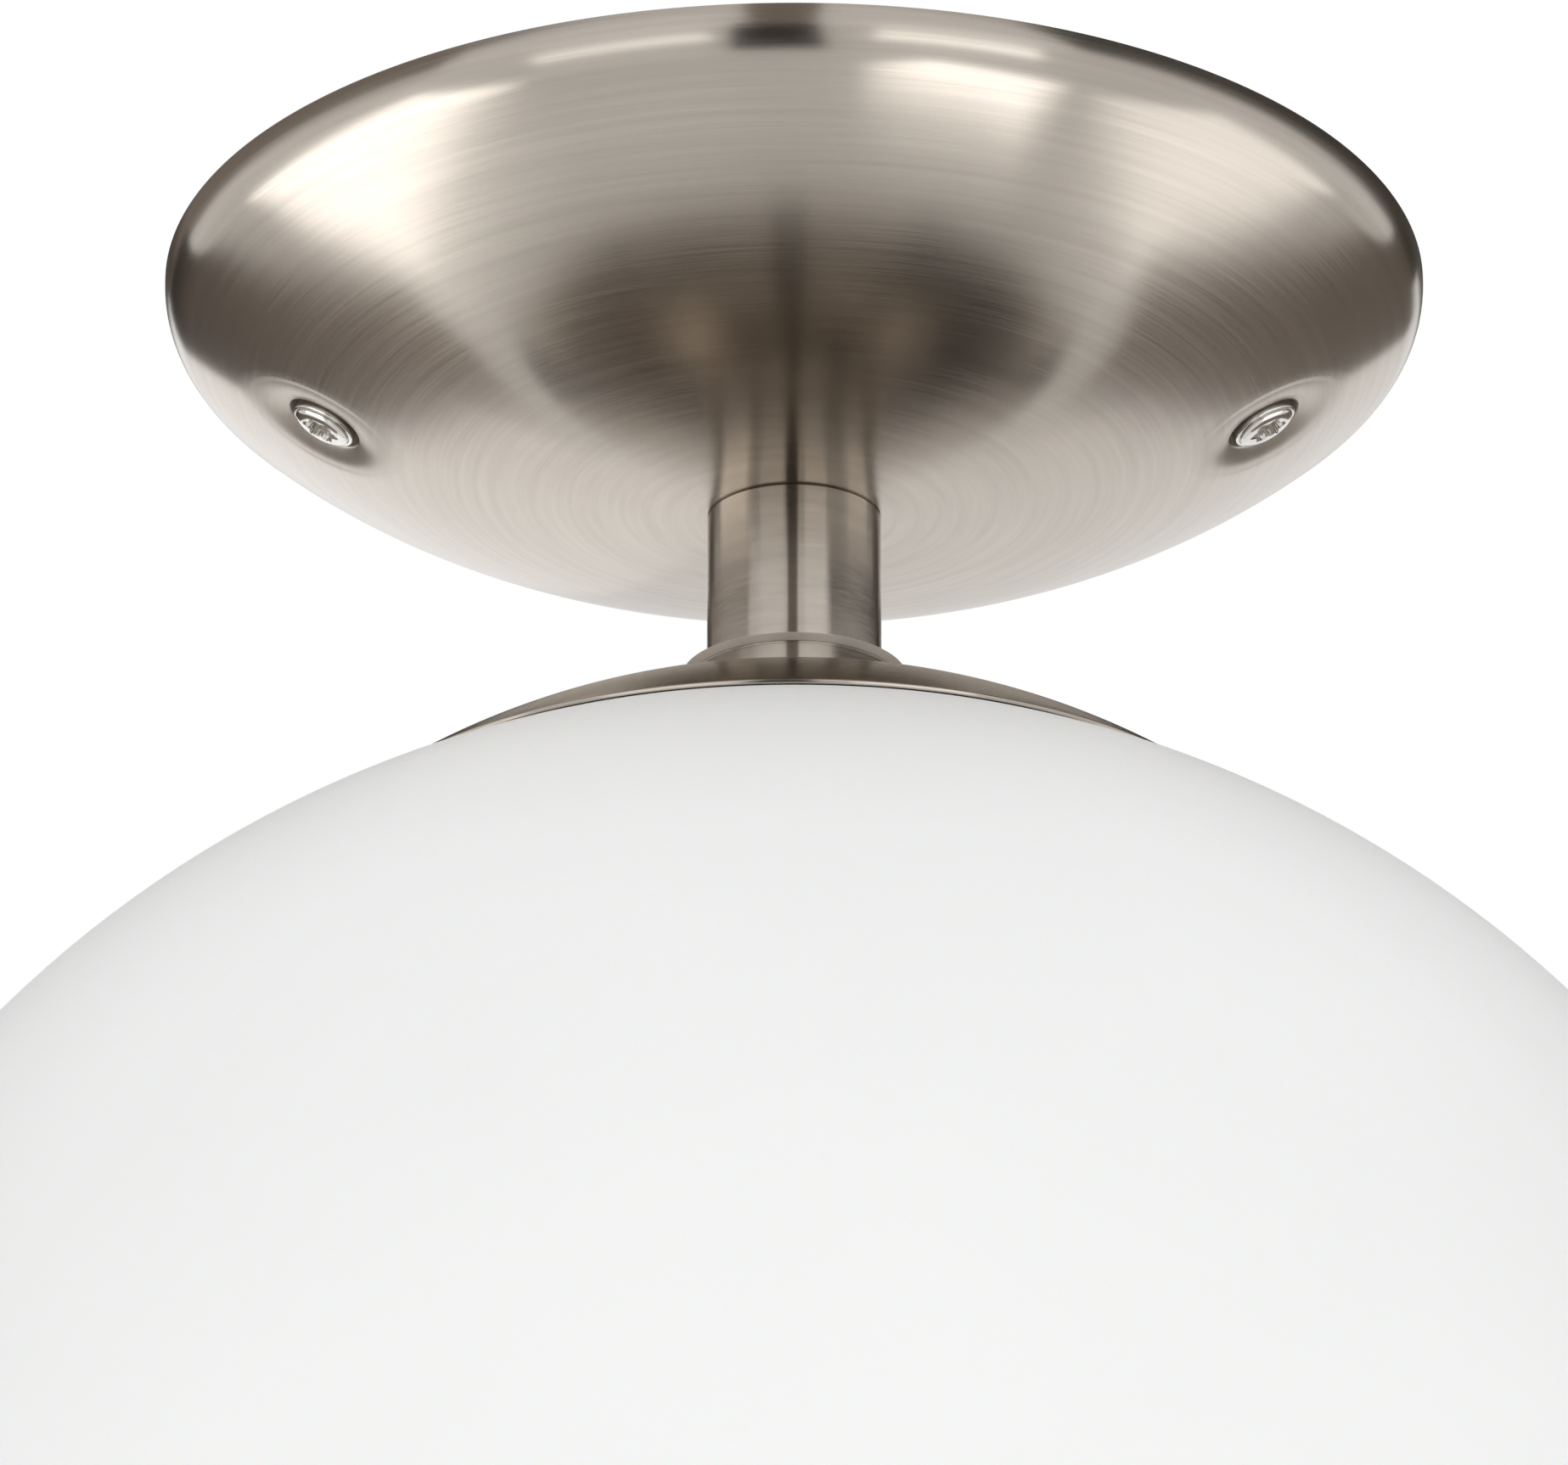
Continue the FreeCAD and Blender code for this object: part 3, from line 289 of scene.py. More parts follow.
def thread_rings(crest, root, pitch, z_from, z_to, count, per_turn=8):
    """Rings of a screw thread; the ridge fades at both ends."""
    rings = []
    steps = max(2, round(abs(z_to - z_from) / pitch * per_turn))
    for step in range(steps + 1):
        z = z_from + (z_to - z_from) * step / steps
        fade = min(1.0, abs(z - z_from) / pitch, abs(z_to - z) / pitch)
        ring = []
        for i in range(count):
            phase = z / pitch - i / count
            ridge = 0.5 + 0.5 * math.cos(2 * math.pi * phase)
            r = root + (crest - root) * ridge * fade
            angle = 2 * math.pi * i / count
            ring.append(Vector((r * math.cos(angle), r * math.sin(angle), z)))
        rings.append(ring)
    return rings


def dress(piece, body, slot, material, *nodes):
    """Puts a piece on its body, in place of its solids and with its finish."""
    piece.data.materials.clear()
    piece.data.materials.append(material)
    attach(piece, body)
    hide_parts(*nodes)
    return piece


def finish_nodes(material, *nodes):
    """Gives solids that keep their own shape a finish."""
    for node in nodes:
        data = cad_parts[node].data
        data.materials.clear()
        data.materials.append(material)


# Finishes

class Recipe:
    """One finish, and short ways to add and join its nodes."""

    def __init__(self, name):
        self.material = bpy.data.materials.new(name)
        self.material.use_nodes = True
        self.nodes = self.material.node_tree.nodes
        self.links = self.material.node_tree.links
        self.shader = self.nodes["Principled BSDF"]

    def set(self, **values):
        """Sets the shader's own sockets; underscores stand for spaces."""
        for key, value in values.items():
            self.shader.inputs[key.replace("_", " ")].default_value = value

    def feed(self, node, *values):
        """Links or sets a node's first inputs, and gives its first output."""
        for socket, value in zip(node.inputs, values):
            if isinstance(value, bpy.types.NodeSocket):
                self.links.new(value, socket)
            elif value is not None:
                socket.default_value = value
        return node.outputs[0]

    def math(self, operation, a, b=None):
        node = self.nodes.new("ShaderNodeMath")
        node.operation = operation
        return self.feed(node, a, b)

    def where(self):
        """Place on the object."""
        return self.nodes.new("ShaderNodeTexCoord").outputs["Object"]

    def axes(self):
        """Place on the object, split into X, Y and Z."""
        split = self.nodes.new("ShaderNodeSeparateXYZ")
        self.links.new(self.where(), split.inputs[0])
        return split.outputs

    def noise(self, vector, scale, detail=3.0, roughness=0.6):
        node = self.nodes.new("ShaderNodeTexNoise")
        node.inputs["Scale"].default_value = scale
        node.inputs["Detail"].default_value = detail
        node.inputs["Roughness"].default_value = roughness
        self.links.new(vector, node.inputs["Vector"])
        return node.outputs[0]

    def spread(self, value, low, high, start=0.3, end=0.7):
        """Stretches a noise between two values."""
        node = self.nodes.new("ShaderNodeMapRange")
        for key, number in (("From Min", start), ("From Max", end), ("To Min", low), ("To Max", high)):
            node.inputs[key].default_value = number
        self.links.new(value, node.inputs["Value"])
        return node.outputs[0]

    def shades(self, value, dark, light, start=0.3, end=0.7):
        """Colour between two shades."""
        node = self.nodes.new("ShaderNodeValToRGB")
        node.color_ramp.elements[0].position = start
        node.color_ramp.elements[1].position = end
        node.color_ramp.elements[0].color = (*dark, 1.0)
        node.color_ramp.elements[1].color = (*light, 1.0)
        self.links.new(value, node.inputs[0])
        self.links.new(node.outputs[0], self.shader.inputs["Base Color"])

    def roughness(self, value, low, high):
        self.links.new(self.spread(value, low, high), self.shader.inputs["Roughness"])

    def bump(self, height, strength, distance):
        node = self.nodes.new("ShaderNodeBump")
        node.inputs["Strength"].default_value = strength
        node.inputs["Distance"].default_value = distance
        self.links.new(height, node.inputs["Height"])
        self.links.new(node.outputs[0], self.shader.inputs["Normal"])

    def rings(self, across, along):
        """Noise drawn out along rings about the Z axis: fine across them, slow along them."""
        x, y, z = self.axes()
        square = self.math("ADD", self.math("MULTIPLY", x, x), self.math("MULTIPLY", y, y))
        r = self.math("SQRT", square)
        safe = self.math("MAXIMUM", r, 1e-5)
        cosine = self.math("MULTIPLY", self.math("DIVIDE", x, safe), along)
        sine = self.math("MULTIPLY", self.math("DIVIDE", y, safe), along)
        step = self.math("MULTIPLY", self.math("ADD", r, z), across)
        swirl = self.feed(self.nodes.new("ShaderNodeCombineXYZ"), step, cosine, sine)
        return self.noise(swirl, 1.0)

    def ring_tangent(self):
        node = self.nodes.new("ShaderNodeTangent")
        node.direction_type = "RADIAL"
        node.axis = "Z"
        self.links.new(node.outputs[0], self.shader.inputs["Tangent"])

    def surface(self, base, tone, rough, strength, depth):
        """Shades of the base colour, roughness and bumps; tone and rough are a noise and its two ends."""
        cloud, dark, light = tone
        grain, low, high = rough
        self.shades(cloud, shade(base, dark), shade(base, light))
        self.roughness(grain, low, high)
        self.bump(grain, strength, depth)
        return self.material


def shade(base, factor):
    return tuple(min(1.0, c * factor) for c in base)


# Numbers that the finishes share; bumps, edge and drop are in metres
FINE_BUMP = 0.00002
COARSE_BUMP = 0.00003
DIMPLE_DULL = 0.22
# Softness of the satin height's edge, and the share by which the colour above it is painted lighter and less
# metallic: a painted highlight on the collar's bevel. The added roughness is real satin.
SATIN_HIGHLIGHT_EDGE = 0.00005
PAINTED_HIGHLIGHT_SHARE = 0.6
SATIN_DULL = 0.40
EARTH_WIRE_DROP = 0.0042
SLEEVE_GRAIN = 2600.0


def brushed_nickel(base, name, low, high, one_way, satin_highlight_z=None, dimple=None, reach=0.0):
    """Nickel brushed in rings; above the given height it is satin and also painted lighter and less metallic
    there as a painted highlight, and duller round a dimple as far as its reach.
    """
    made = Recipe(name)
    fine = made.rings(5200.0, 3.0)
    slow = made.rings(700.0, 1.0)
    made.set(Metallic=1.0, Anisotropic=one_way, Anisotropic_Rotation=0.25)
    rough = made.spread(fine, low, high)
    if satin_highlight_z is None:
        made.shades(slow, shade(base, 0.93), shade(base, 1.05))
        if dimple is not None:
            x, y, z = made.axes()
            across = made.math("SUBTRACT", made.math("ABSOLUTE", x), dimple.x)
            down = made.math("SUBTRACT", z, dimple.z)
            squares = [made.math("MULTIPLY", part, part) for part in (across, y, down)]
            total = made.math("ADD", made.math("ADD", squares[0], squares[1]), squares[2])
            away = made.math("SQRT", total)
            rough = made.math("ADD", rough, made.spread(away, DIMPLE_DULL, 0.0, reach * 0.85, reach * 1.25))
    else:
        # Above the height the roughness is real satin; the lighter, less metallic colour there is a painted
        # highlight.
        satin_highlight = made.spread(made.axes()[2], 0.0, 1.0, satin_highlight_z - SATIN_HIGHLIGHT_EDGE, satin_highlight_z + SATIN_HIGHLIGHT_EDGE)
        painted_highlight = made.math("MULTIPLY", satin_highlight, PAINTED_HIGHLIGHT_SHARE)
        tone = made.math("ADD", made.math("MULTIPLY", slow, 0.15), painted_highlight)
        made.shades(tone, shade(base, 0.93), shade(base, 1.5), 0.0, 0.75)
        made.links.new(made.math("SUBTRACT", 1.0, painted_highlight), made.shader.inputs["Metallic"])
        rough = made.math("ADD", rough, made.math("MULTIPLY", satin_highlight, SATIN_DULL))
    made.links.new(rough, made.shader.inputs["Roughness"])
    made.bump(fine, 0.05, FINE_BUMP)
    made.ring_tangent()
    return made.material


def plain_metal(name, base, low, high, scale, strength=0.06):
    """Metal with a mottled surface and fine scratches."""
    made = Recipe(name)
    where = made.where()
    mottle = made.noise(where, scale)
    grain = made.noise(where, scale * 9)
    made.set(Metallic=1.0)
    return made.surface(base, (mottle, 0.92, 1.05), (grain, low, high), strength, FINE_BUMP)


def turned_metal(name, base, low, high):
    """Metal with the fine rings that a lathe leaves."""
    made = Recipe(name)
    fine = made.rings(2400.0, 3.0)
    slow = made.rings(300.0, 1.5)
    made.set(Metallic=1.0)
    return made.surface(base, (slow, 0.93, 1.04), (fine, low, high), 0.12, COARSE_BUMP)


def moulded(name, base, low, high, scale, strength=0.1):
    """Moulded plastic or rubber with a fine matt grain."""
    made = Recipe(name)
    where = made.where()
    cloud = made.noise(where, 90.0)
    grain = made.noise(where, scale)
    return made.surface(base, (cloud, 0.95, 1.03), (grain, low, high), strength, COARSE_BUMP)


def striped_sleeve(name, first, second):
    """Sleeve of an earth wire, in two colours that run along it side by side."""
    made = Recipe(name)
    _, y, z = made.axes()
    around = made.math("ARCTAN2", made.math("ADD", z, EARTH_WIRE_DROP), y)
    wave = made.math("SINE", made.math("MULTIPLY", around, 2.0))
    grain = made.noise(made.where(), SLEEVE_GRAIN)
    made.shades(wave, first, second, 0.48, 0.52)
    made.roughness(grain, 0.42, 0.52)
    made.bump(grain, 0.08, COARSE_BUMP)
    return made.material


def opal_glass(base):
    """Satin white glass with hardly visible clouds in its depth."""
    made = Recipe("opal_glass_finish")
    where = made.where()
    cloud = made.noise(where, 22.0)
    grain = made.noise(where, 900.0)
    made.set(Subsurface_Weight=0.12, Subsurface_Scale=0.004, IOR=1.5)
    return made.surface(base, (cloud, 0.988, 1.006), (grain, 0.44, 0.52), 0.02, FINE_BUMP)


def bulb_glass(base):
    """White coated glass of the bulb."""
    made = Recipe("bulb_glass_finish")
    cloud = made.noise(made.where(), 60.0)
    made.set(IOR=1.5)
    made.shades(cloud, shade(base, 0.97), shade(base, 1.01))
    made.roughness(cloud, 0.22, 0.3)
    return made.material


# Shape of the canopy

# Slope at which the flare ends, roundings at the foot of a dimple's wall, and a ring on its floor
FLARE_END_DEG = -5.0
INNER_CORNER = 0.35 * MM
OUTER_CORNER = 0.25 * MM
FLOOR_MIDDLE = 3.3 * MM


class Dish:
    """Skin of the canopy, set in by inset, and the two dimples for its screws."""

    def __init__(self, sizes, inset):
        self.s = sizes
        self.inset = inset
        self.crown_angle = math.asin(sizes.crown_diameter / 2 / sizes.crown_radius)
        seat_angle = math.asin(sizes.seat_radius / sizes.crown_radius)
        self.crown_z = sizes.crown_radius * math.cos(seat_angle) - sizes.depth
        step = sizes.crown_radius - sizes.shoulder_radius
        self.shoulder_r = step * math.sin(self.crown_angle)
        self.shoulder_z = self.crown_z - step * math.cos(self.crown_angle)
        self.rim_r = sizes.diameter / 2 - sizes.rim_radius
        rim_step = sizes.shoulder_radius - sizes.rim_radius
        self.rim_angle = math.asin((self.rim_r - self.shoulder_r) / rim_step)
        reach = sizes.diameter / 2 - sizes.screw_inset
        self.screw_angle = math.asin((reach - self.shoulder_r) / sizes.shoulder_radius)
        self.out = Vector((math.sin(self.screw_angle), 0, -math.cos(self.screw_angle)))
        surface = Vector((reach, 0, self.shoulder_z - sizes.shoulder_radius * math.cos(self.screw_angle)))
        self.seat = surface - self.out * sizes.dimple_depth
        self.up = Vector((math.cos(self.screw_angle), 0, math.sin(self.screw_angle)))
        self.side = Vector((0, 1, 0))

    def crown(self, angle):
        radius = self.s.crown_radius - self.inset
        return (radius * math.sin(angle), self.crown_z - radius * math.cos(angle))

    def shoulder(self, angle):
        radius = self.s.shoulder_radius - self.inset
        return (self.shoulder_r + radius * math.sin(angle), self.shoulder_z - radius * math.cos(angle))

    def rim(self, angle):
        radius = self.s.rim_radius - self.inset
        return (self.rim_r + radius * math.sin(angle), -self.s.rim_wall - radius * math.cos(angle))

    def flat_z(self):
        return self.inset - self.s.depth

    def dome_height(self, u, v):
        """Height of the dish over a screw's seat, along the screw, at u up the dish and v across it."""
        radius = self.s.shoulder_radius - self.inset
        height = self.s.dimple_depth - self.inset
        for _ in range(12):
            p = self.seat + self.up * u + self.side * v + self.out * height
            flat = math.hypot(p.x, p.y)
            away = math.hypot(flat - self.shoulder_r, p.z - self.shoulder_z)
            slope = ((flat - self.shoulder_r) * (p.x * self.out.x) / flat
                     + (p.z - self.shoulder_z) * self.out.z) / away
            height -= (away - radius) / slope
        return height

    def pressed(self, u, v):
        """Height of the dimpled skin where it is wider than the dimple's wall."""
        rho = math.hypot(u, v)
        dome = self.dome_height(u, v)
        if rho > self.s.dimple_reach:
            return dome
        flare = self.flare_height(rho)
        k = self.s.dimple_blend
        mix = max(k - abs(dome - flare), 0.0) / k
        return min(dome, flare) - mix * mix * k / 4

    def flare_height(self, rho):
        """Height of the flare, an arc from the edge over the wall to where it meets the dish."""
        start = self.s.dimple_slope
        end = math.radians(FLARE_END_DEG)
        lip_r = self.s.dimple_floor + self.s.dimple_lip * (1 - math.sin(start))
        lip_z = self.s.dimple_wall + self.s.dimple_lip * math.cos(start)
        radius = (self.s.dimple_reach - lip_r) / (math.sin(start) - math.sin(end))
        centre_r = lip_r + radius * math.sin(start)
        centre_z = lip_z - radius * math.cos(start)
        return centre_z + math.sqrt((radius - self.inset) ** 2 - (rho - centre_r) ** 2)

    def dimple_wall(self):
        """Profile of the dimple's floor and wall, from the screw's hole to the start of the flare."""
        s = self.s
        if self.inset:
            wall = s.dimple_floor + self.inset
            top = self.flare_height(wall)
            low = -self.inset
            corner = INNER_CORNER
            points = [(s.screw_hole_radius, low), ((s.screw_hole_radius + wall) / 2, low)]
            points += arc((wall - corner, low + corner), corner, -90, 0, 3)
            points += [(wall, (low + top) / 2), (wall, top)]
            return points
        corner = OUTER_CORNER
        points = [(s.screw_hole_radius, 0.0), (FLOOR_MIDDLE, 0.0)]
        points += arc((s.dimple_floor - corner, corner), corner, -90, 0, 3)
        points += [(s.dimple_floor, (corner + s.dimple_wall) / 2)]
        points += arc((s.dimple_floor + s.dimple_lip, s.dimple_wall), s.dimple_lip, 180,
                      90 + math.degrees(s.dimple_slope), 5)
        return points


# Points round the canopy, and the patch of its mesh that makes way for a dimple
CANOPY_COUNT = 240
PATCH_HALF = 9
PATCH_REACH = 13.0 * MM
RING_REACH = 11.2 * MM
FLARE_REACH = 10.6 * MM
FLARE_START = 0.3 * MM
FLARE_STEP = 0.42 * MM


def dish_rings(dish):
    """Profile of the dish from the rod's hole to the ceiling, and the rings of the patch at a screw."""
    s = dish.s
    patch = PATCH_REACH / s.shoulder_radius
    seat_r = math.sqrt((s.crown_radius - dish.inset) ** 2 - (dish.crown_z - dish.flat_z()) ** 2)
    seat_angle = math.asin(seat_r / (s.crown_radius - dish.inset))
    profile = [(s.rod_hole_radius, dish.flat_z()), ((s.rod_hole_radius + seat_r) / 2, dish.flat_z())]

    def run(curve, start, end, steps, last=False):
        for i in range(steps + (1 if last else 0)):
            profile.append(curve(start + (end - start) * i / steps))

    run(dish.crown, seat_angle, dish.crown_angle, 20)
    run(dish.shoulder, dish.crown_angle, dish.screw_angle - patch, 6)
    first = len(profile)
    run(dish.shoulder, dish.screw_angle - patch, dish.screw_angle + patch, 2 * PATCH_HALF)
    last = len(profile)
    run(dish.shoulder, dish.screw_angle + patch, dish.rim_angle, 5)
    run(dish.rim, dish.rim_angle, math.pi / 2, 14, True)
    profile.append((s.diameter / 2 - dish.inset, 0.0))
    return profile, first, last


def skin(dish, base):
    """One side of the canopy: points, faces, and the loops at its holes and its edge."""
    profile, first, last = dish_rings(dish)
    count = CANOPY_COUNT
    points = [point for ring in circles(profile, count) for point in ring]
    faces = []

    def number(ring, i):
        return base + ring * count + i % count

    centres = (0, count // 2)
    for ring in range(len(profile) - 1):
        for i in range(count):
            near = any((i - c + PATCH_HALF) % count < 2 * PATCH_HALF for c in centres)
            if not (near and first <= ring < last):
                faces.append([number(ring, i), number(ring, i + 1),
                              number(ring + 1, i + 1), number(ring + 1, i)])
    holes = []
    for centre in centres:
        left, right = centre - PATCH_HALF, centre + PATCH_HALF
        loop = [(first, i) for i in range(left, right)]
        loop += [(ring, right) for ring in range(first, last)]
        loop += [(last, i) for i in range(right, left, -1)]
        loop += [(ring, left) for ring in range(last, first, -1)]
        numbers = [number(ring, i) for ring, i in loop]
        flip = 1 if centre == 0 else -1
        flats = []
        for n in numbers:
            p = points[n - base]
            away = Vector((p.x * flip, p.y * flip, p.z)) - dish.seat
            flats.append((away.dot(dish.up), away.dot(dish.side)))
        wall = dish.dimple_wall()
        flare = []
        rho = wall[-1][0] + FLARE_START
        while rho < FLARE_REACH:
            flare.append(rho)
            rho += FLARE_STEP
        steps = [(share, RING_REACH, None) for share in (0.66, 0.33, 0.0)]
        steps += [(0.0, wide, None) for wide in reversed(flare)]
        steps += [(0.0, wide, height) for wide, height in reversed(wall)]
        outer = numbers
        for share, wide, height in steps:
            ring = []
            for u, v in flats:
                rho = math.hypot(u, v)
                away = rho * share + wide * (1 - share)
                ring.append(add_point(points, base, dish, flip, u / rho * away, v / rho * away, height))
            faces.extend(band(outer, ring))
            outer = ring
        holes.append(outer)
    bore = [number(0, i) for i in range(count)]
    edge = [number(len(profile) - 1, i) for i in range(count)]
    return points, faces, holes, bore, edge


def add_point(points, base, dish, flip, u, v, height):
    """Adds a point over a screw's seat; with no height it lies on the dimpled skin."""
    if height is None:
        height = dish.pressed(u, v)
    p = dish.seat + dish.up * u + dish.side * v + dish.out * height
    points.append(Vector((p.x * flip, p.y * flip, p.z)))
    return base + len(points) - 1


def band(first, second):
    """Faces between two loops of equal count."""
    count = len(first)
    return [[first[i], first[(i + 1) % count], second[(i + 1) % count], second[i]] for i in range(count)]


def canopy_piece(sizes):
    points, faces, holes, bore, edge = skin(Dish(sizes, 0.0), 0)
    inner = Dish(sizes, sizes.sheet)
    inner_points, inner_faces, inner_holes, inner_bore, inner_edge = skin(inner, len(points))
    points += inner_points
    faces += inner_faces
    for a, b in zip(holes + [bore, edge], inner_holes + [inner_bore, inner_edge]):
        faces.extend(band(a, b))
    return mesh_object("nickel_canopy", points, faces, 40.0)


def screw_matrix(side):
    """Place of a canopy screw: its own Z runs outward from the floor of the dimple."""
    dish = Dish(bpy.context.scene.light_canopy, 0.0)
    place = Matrix.Identity(4)
    for row in range(3):
        place[row][0] = dish.up[row]
        place[row][1] = -dish.side[row]
        place[row][2] = dish.out[row]
        place[row][3] = dish.seat[row]
    return Matrix.Rotation(0.0 if side > 0 else math.pi, 4, "Z") @ place


# Points round a screw, and how its six-lobed socket swells and narrows
SCREW_COUNT = 72
LOBE_MIDDLE = 0.865
LOBE_SWING = 0.135


def screw_piece(name, s):
    """Pan head screw about its own Z, standing on the washer."""
    top = s.washer_height + s.head_height
    side_z = top - s.dome_height
    flat = s.head_radius * 0.6
    rise = ((s.head_radius - flat) ** 2 + s.dome_height ** 2) / (2 * s.dome_height)

    def dome_z(r):
        if r <= flat:
            return top
        return top - rise + math.sqrt(rise ** 2 - (r - flat) ** 2)

    def lobed(scale, grow, z, round_r=0.0, share=0.0):
        ring = []
        for i in range(SCREW_COUNT):
            angle = 2 * math.pi * i / SCREW_COUNT
            star = s.socket_radius * (LOBE_MIDDLE + LOBE_SWING * math.cos(6 * angle)) * scale + grow
            r = star * (1 - share) + round_r * share
            height = dome_z(r) if z is None else z
            ring.append(Vector((r * math.cos(angle), r * math.sin(angle), height)))
        return ring

    floor = top - s.socket_depth
    point = 0.35 * MM
    slant = 0.12 * MM
    foot = 0.25 * MM
    chamfer = 0.1 * MM
    rings = [[Vector((0, 0, floor - point))]]
    for scale, grow, z in ((0.5, 0, floor - slant), (0.96, 0, floor), (1.0, 0, floor + foot),
                           (1.0, 0, top - chamfer), (1.0, chamfer, None)):
        rings.append(lobed(scale, grow, z))
    face = s.socket_radius + 0.4 * MM
    for share in (0.5, 1.0):
        rings.append(lobed(1.0, chamfer, None, face, share))
    step_r = s.head_radius - 0.5 * MM
    for share in (0.2, 0.4, 0.6, 0.8, 1.0):
        r = face + (step_r - face) * share
        rings.append(circle(r, dome_z(r), SCREW_COUNT))
    edge = 0.2 * MM
    ease = 0.12 * MM
    rim_z = side_z + 0.3 * MM
    foot_z = s.washer_height
    side = [(step_r + ease / 2, rim_z - ease), (step_r + ease, rim_z)]
    side += arc((s.head_radius - edge, rim_z - edge), edge, 80, 0, 5)
    side += [(s.head_radius, foot_z + ease), (s.head_radius - ease, foot_z), (s.thread_radius * 1.02, foot_z)]
    rings += circles(side, SCREW_COUNT)
    tip = foot_z - s.shank
    rings += thread_rings(s.thread_radius * 0.99, s.thread_radius * 0.84, s.pitch,
                          foot_z - 0.15 * MM, tip + 0.5 * MM, SCREW_COUNT)
    rings.append(circle(s.thread_radius * 0.7, tip, SCREW_COUNT))
    rings.append([Vector((0, 0, tip))])
    points, faces = join_rings(rings)
    return mesh_object(name, points, faces, 40.0)


def washer_piece(name, s):
    """Flat washer about its own Z, with both faces eased."""
    gap = 0.01 * MM
    hole = s.thread_radius + 0.25 * MM
    profile = [(hole, gap), (s.washer_radius, gap), (s.washer_radius, s.washer_height - gap),
               (hole, s.washer_height - gap)]
    return turned(name, eased(profile, 0.14 * MM, 3), 96)


# Operators, one for each piece or group of like pieces

class BuildCanopy(bpy.types.Operator):
    """Dished canopy with two screw dimples"""
    bl_idname = "globelight.canopy"
    bl_label = "Canopy"

    def execute(self, context):
        colours = context.scene.light_finishes
        sizes = context.scene.light_canopy
        piece = canopy_piece(sizes)
        nickel = brushed_nickel(colours.nickel, "canopy_nickel_finish", 0.17, 0.23, 0.9,
                                dimple=Dish(sizes, 0.0).seat, reach=sizes.dimple_reach)
        dress(piece, "fixture", "brushed_nickel", nickel, "canopy")
        return {"FINISHED"}


class BuildScrews(bpy.types.Operator):
    """Canopy screws and their washers"""
    bl_idname = "globelight.screws"
    bl_label = "Canopy screws"

    def execute(self, context):
        sizes = context.scene.light_screws
        colours = context.scene.light_finishes
        chrome = plain_metal("screw_chrome_finish", colours.chrome, 0.07, 0.14, 500.0, 0.04)
        for side, word in ((1, "right"), (-1, "left")):
            place = screw_matrix(side)
            screw = screw_piece("chrome_screw_" + word, sizes)
            washer = washer_piece("chrome_washer_" + word, sizes)
            for piece in (screw, washer):
                piece.data.transform(place)
            dress(screw, word + "_screw", "screw_chrome", chrome, "canopy_screw_" + word)
            dress(washer, word + "_washer", "screw_chrome", chrome, "screw_washer_" + word)
        return {"FINISHED"}


class BuildStem(bpy.types.Operator):
    """Stem and the collar at its foot"""
    bl_idname = "globelight.stem"
    bl_label = "Stem and collar"

    def execute(self, context):
        s = context.scene.light_stem
        base = context.scene.light_finishes.nickel
        nickel = brushed_nickel(shade(base, 0.98), "stem_nickel_finish", 0.18, 0.24, 1.0)
        low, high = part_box("stem_tube")
        cut = s.joint_chamfer
        profile = [(s.radius - s.wall, low.z), (s.radius, low.z), (s.radius, high.z - cut * 0.8),
                   (s.radius - cut, high.z), (s.radius - s.wall, high.z)]
        tube = turned("nickel_stem", eased(profile, 0.1 * MM, 2), 192)
        dress(tube, "fixture", "brushed_nickel", nickel, "stem_tube")
        low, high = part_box("stem_collar")
        socket_z = high.z - 1.5 * MM
        socket_r = s.radius + 0.05 * MM
        skirt_r = s.collar_radius - s.bevel_width
        bevel_z = high.z - s.bevel_height
        profile = [
            (ROD_HOLE, low.z), (skirt_r, low.z), (skirt_r, bevel_z - 2 * s.groove),
            (skirt_r - s.groove, bevel_z - 1.5 * s.groove), (skirt_r - s.groove, bevel_z - 0.5 * s.groove),
            (skirt_r, bevel_z), (s.collar_radius, high.z), (socket_r, high.z), (socket_r, socket_z),
            (ROD_HOLE, socket_z),
        ]
        collar = turned("nickel_collar", eased(profile, 0.07 * MM, 3), 192)
        # The collar's bevel is rougher satin and also has a painted highlight: its nickel is painted lighter
        # and less metallic.
        satin_highlight = brushed_nickel(base, "collar_nickel_painted_highlight", 0.18, 0.24, 1.0, bevel_z)
        dress(collar, "fixture", "brushed_nickel", satin_highlight, "stem_collar")
        return {"FINISHED"}


def bow(centre_z, radius, start, end, steps):
    """Points along an arc over a point of the Z axis, without the first; angles are from straight up."""
    points = []
    for i in range(1, steps + 1):
        angle = start + (end - start) * i / steps
        points.append((radius * math.sin(angle), centre_z + radius * math.cos(angle)))
    return points


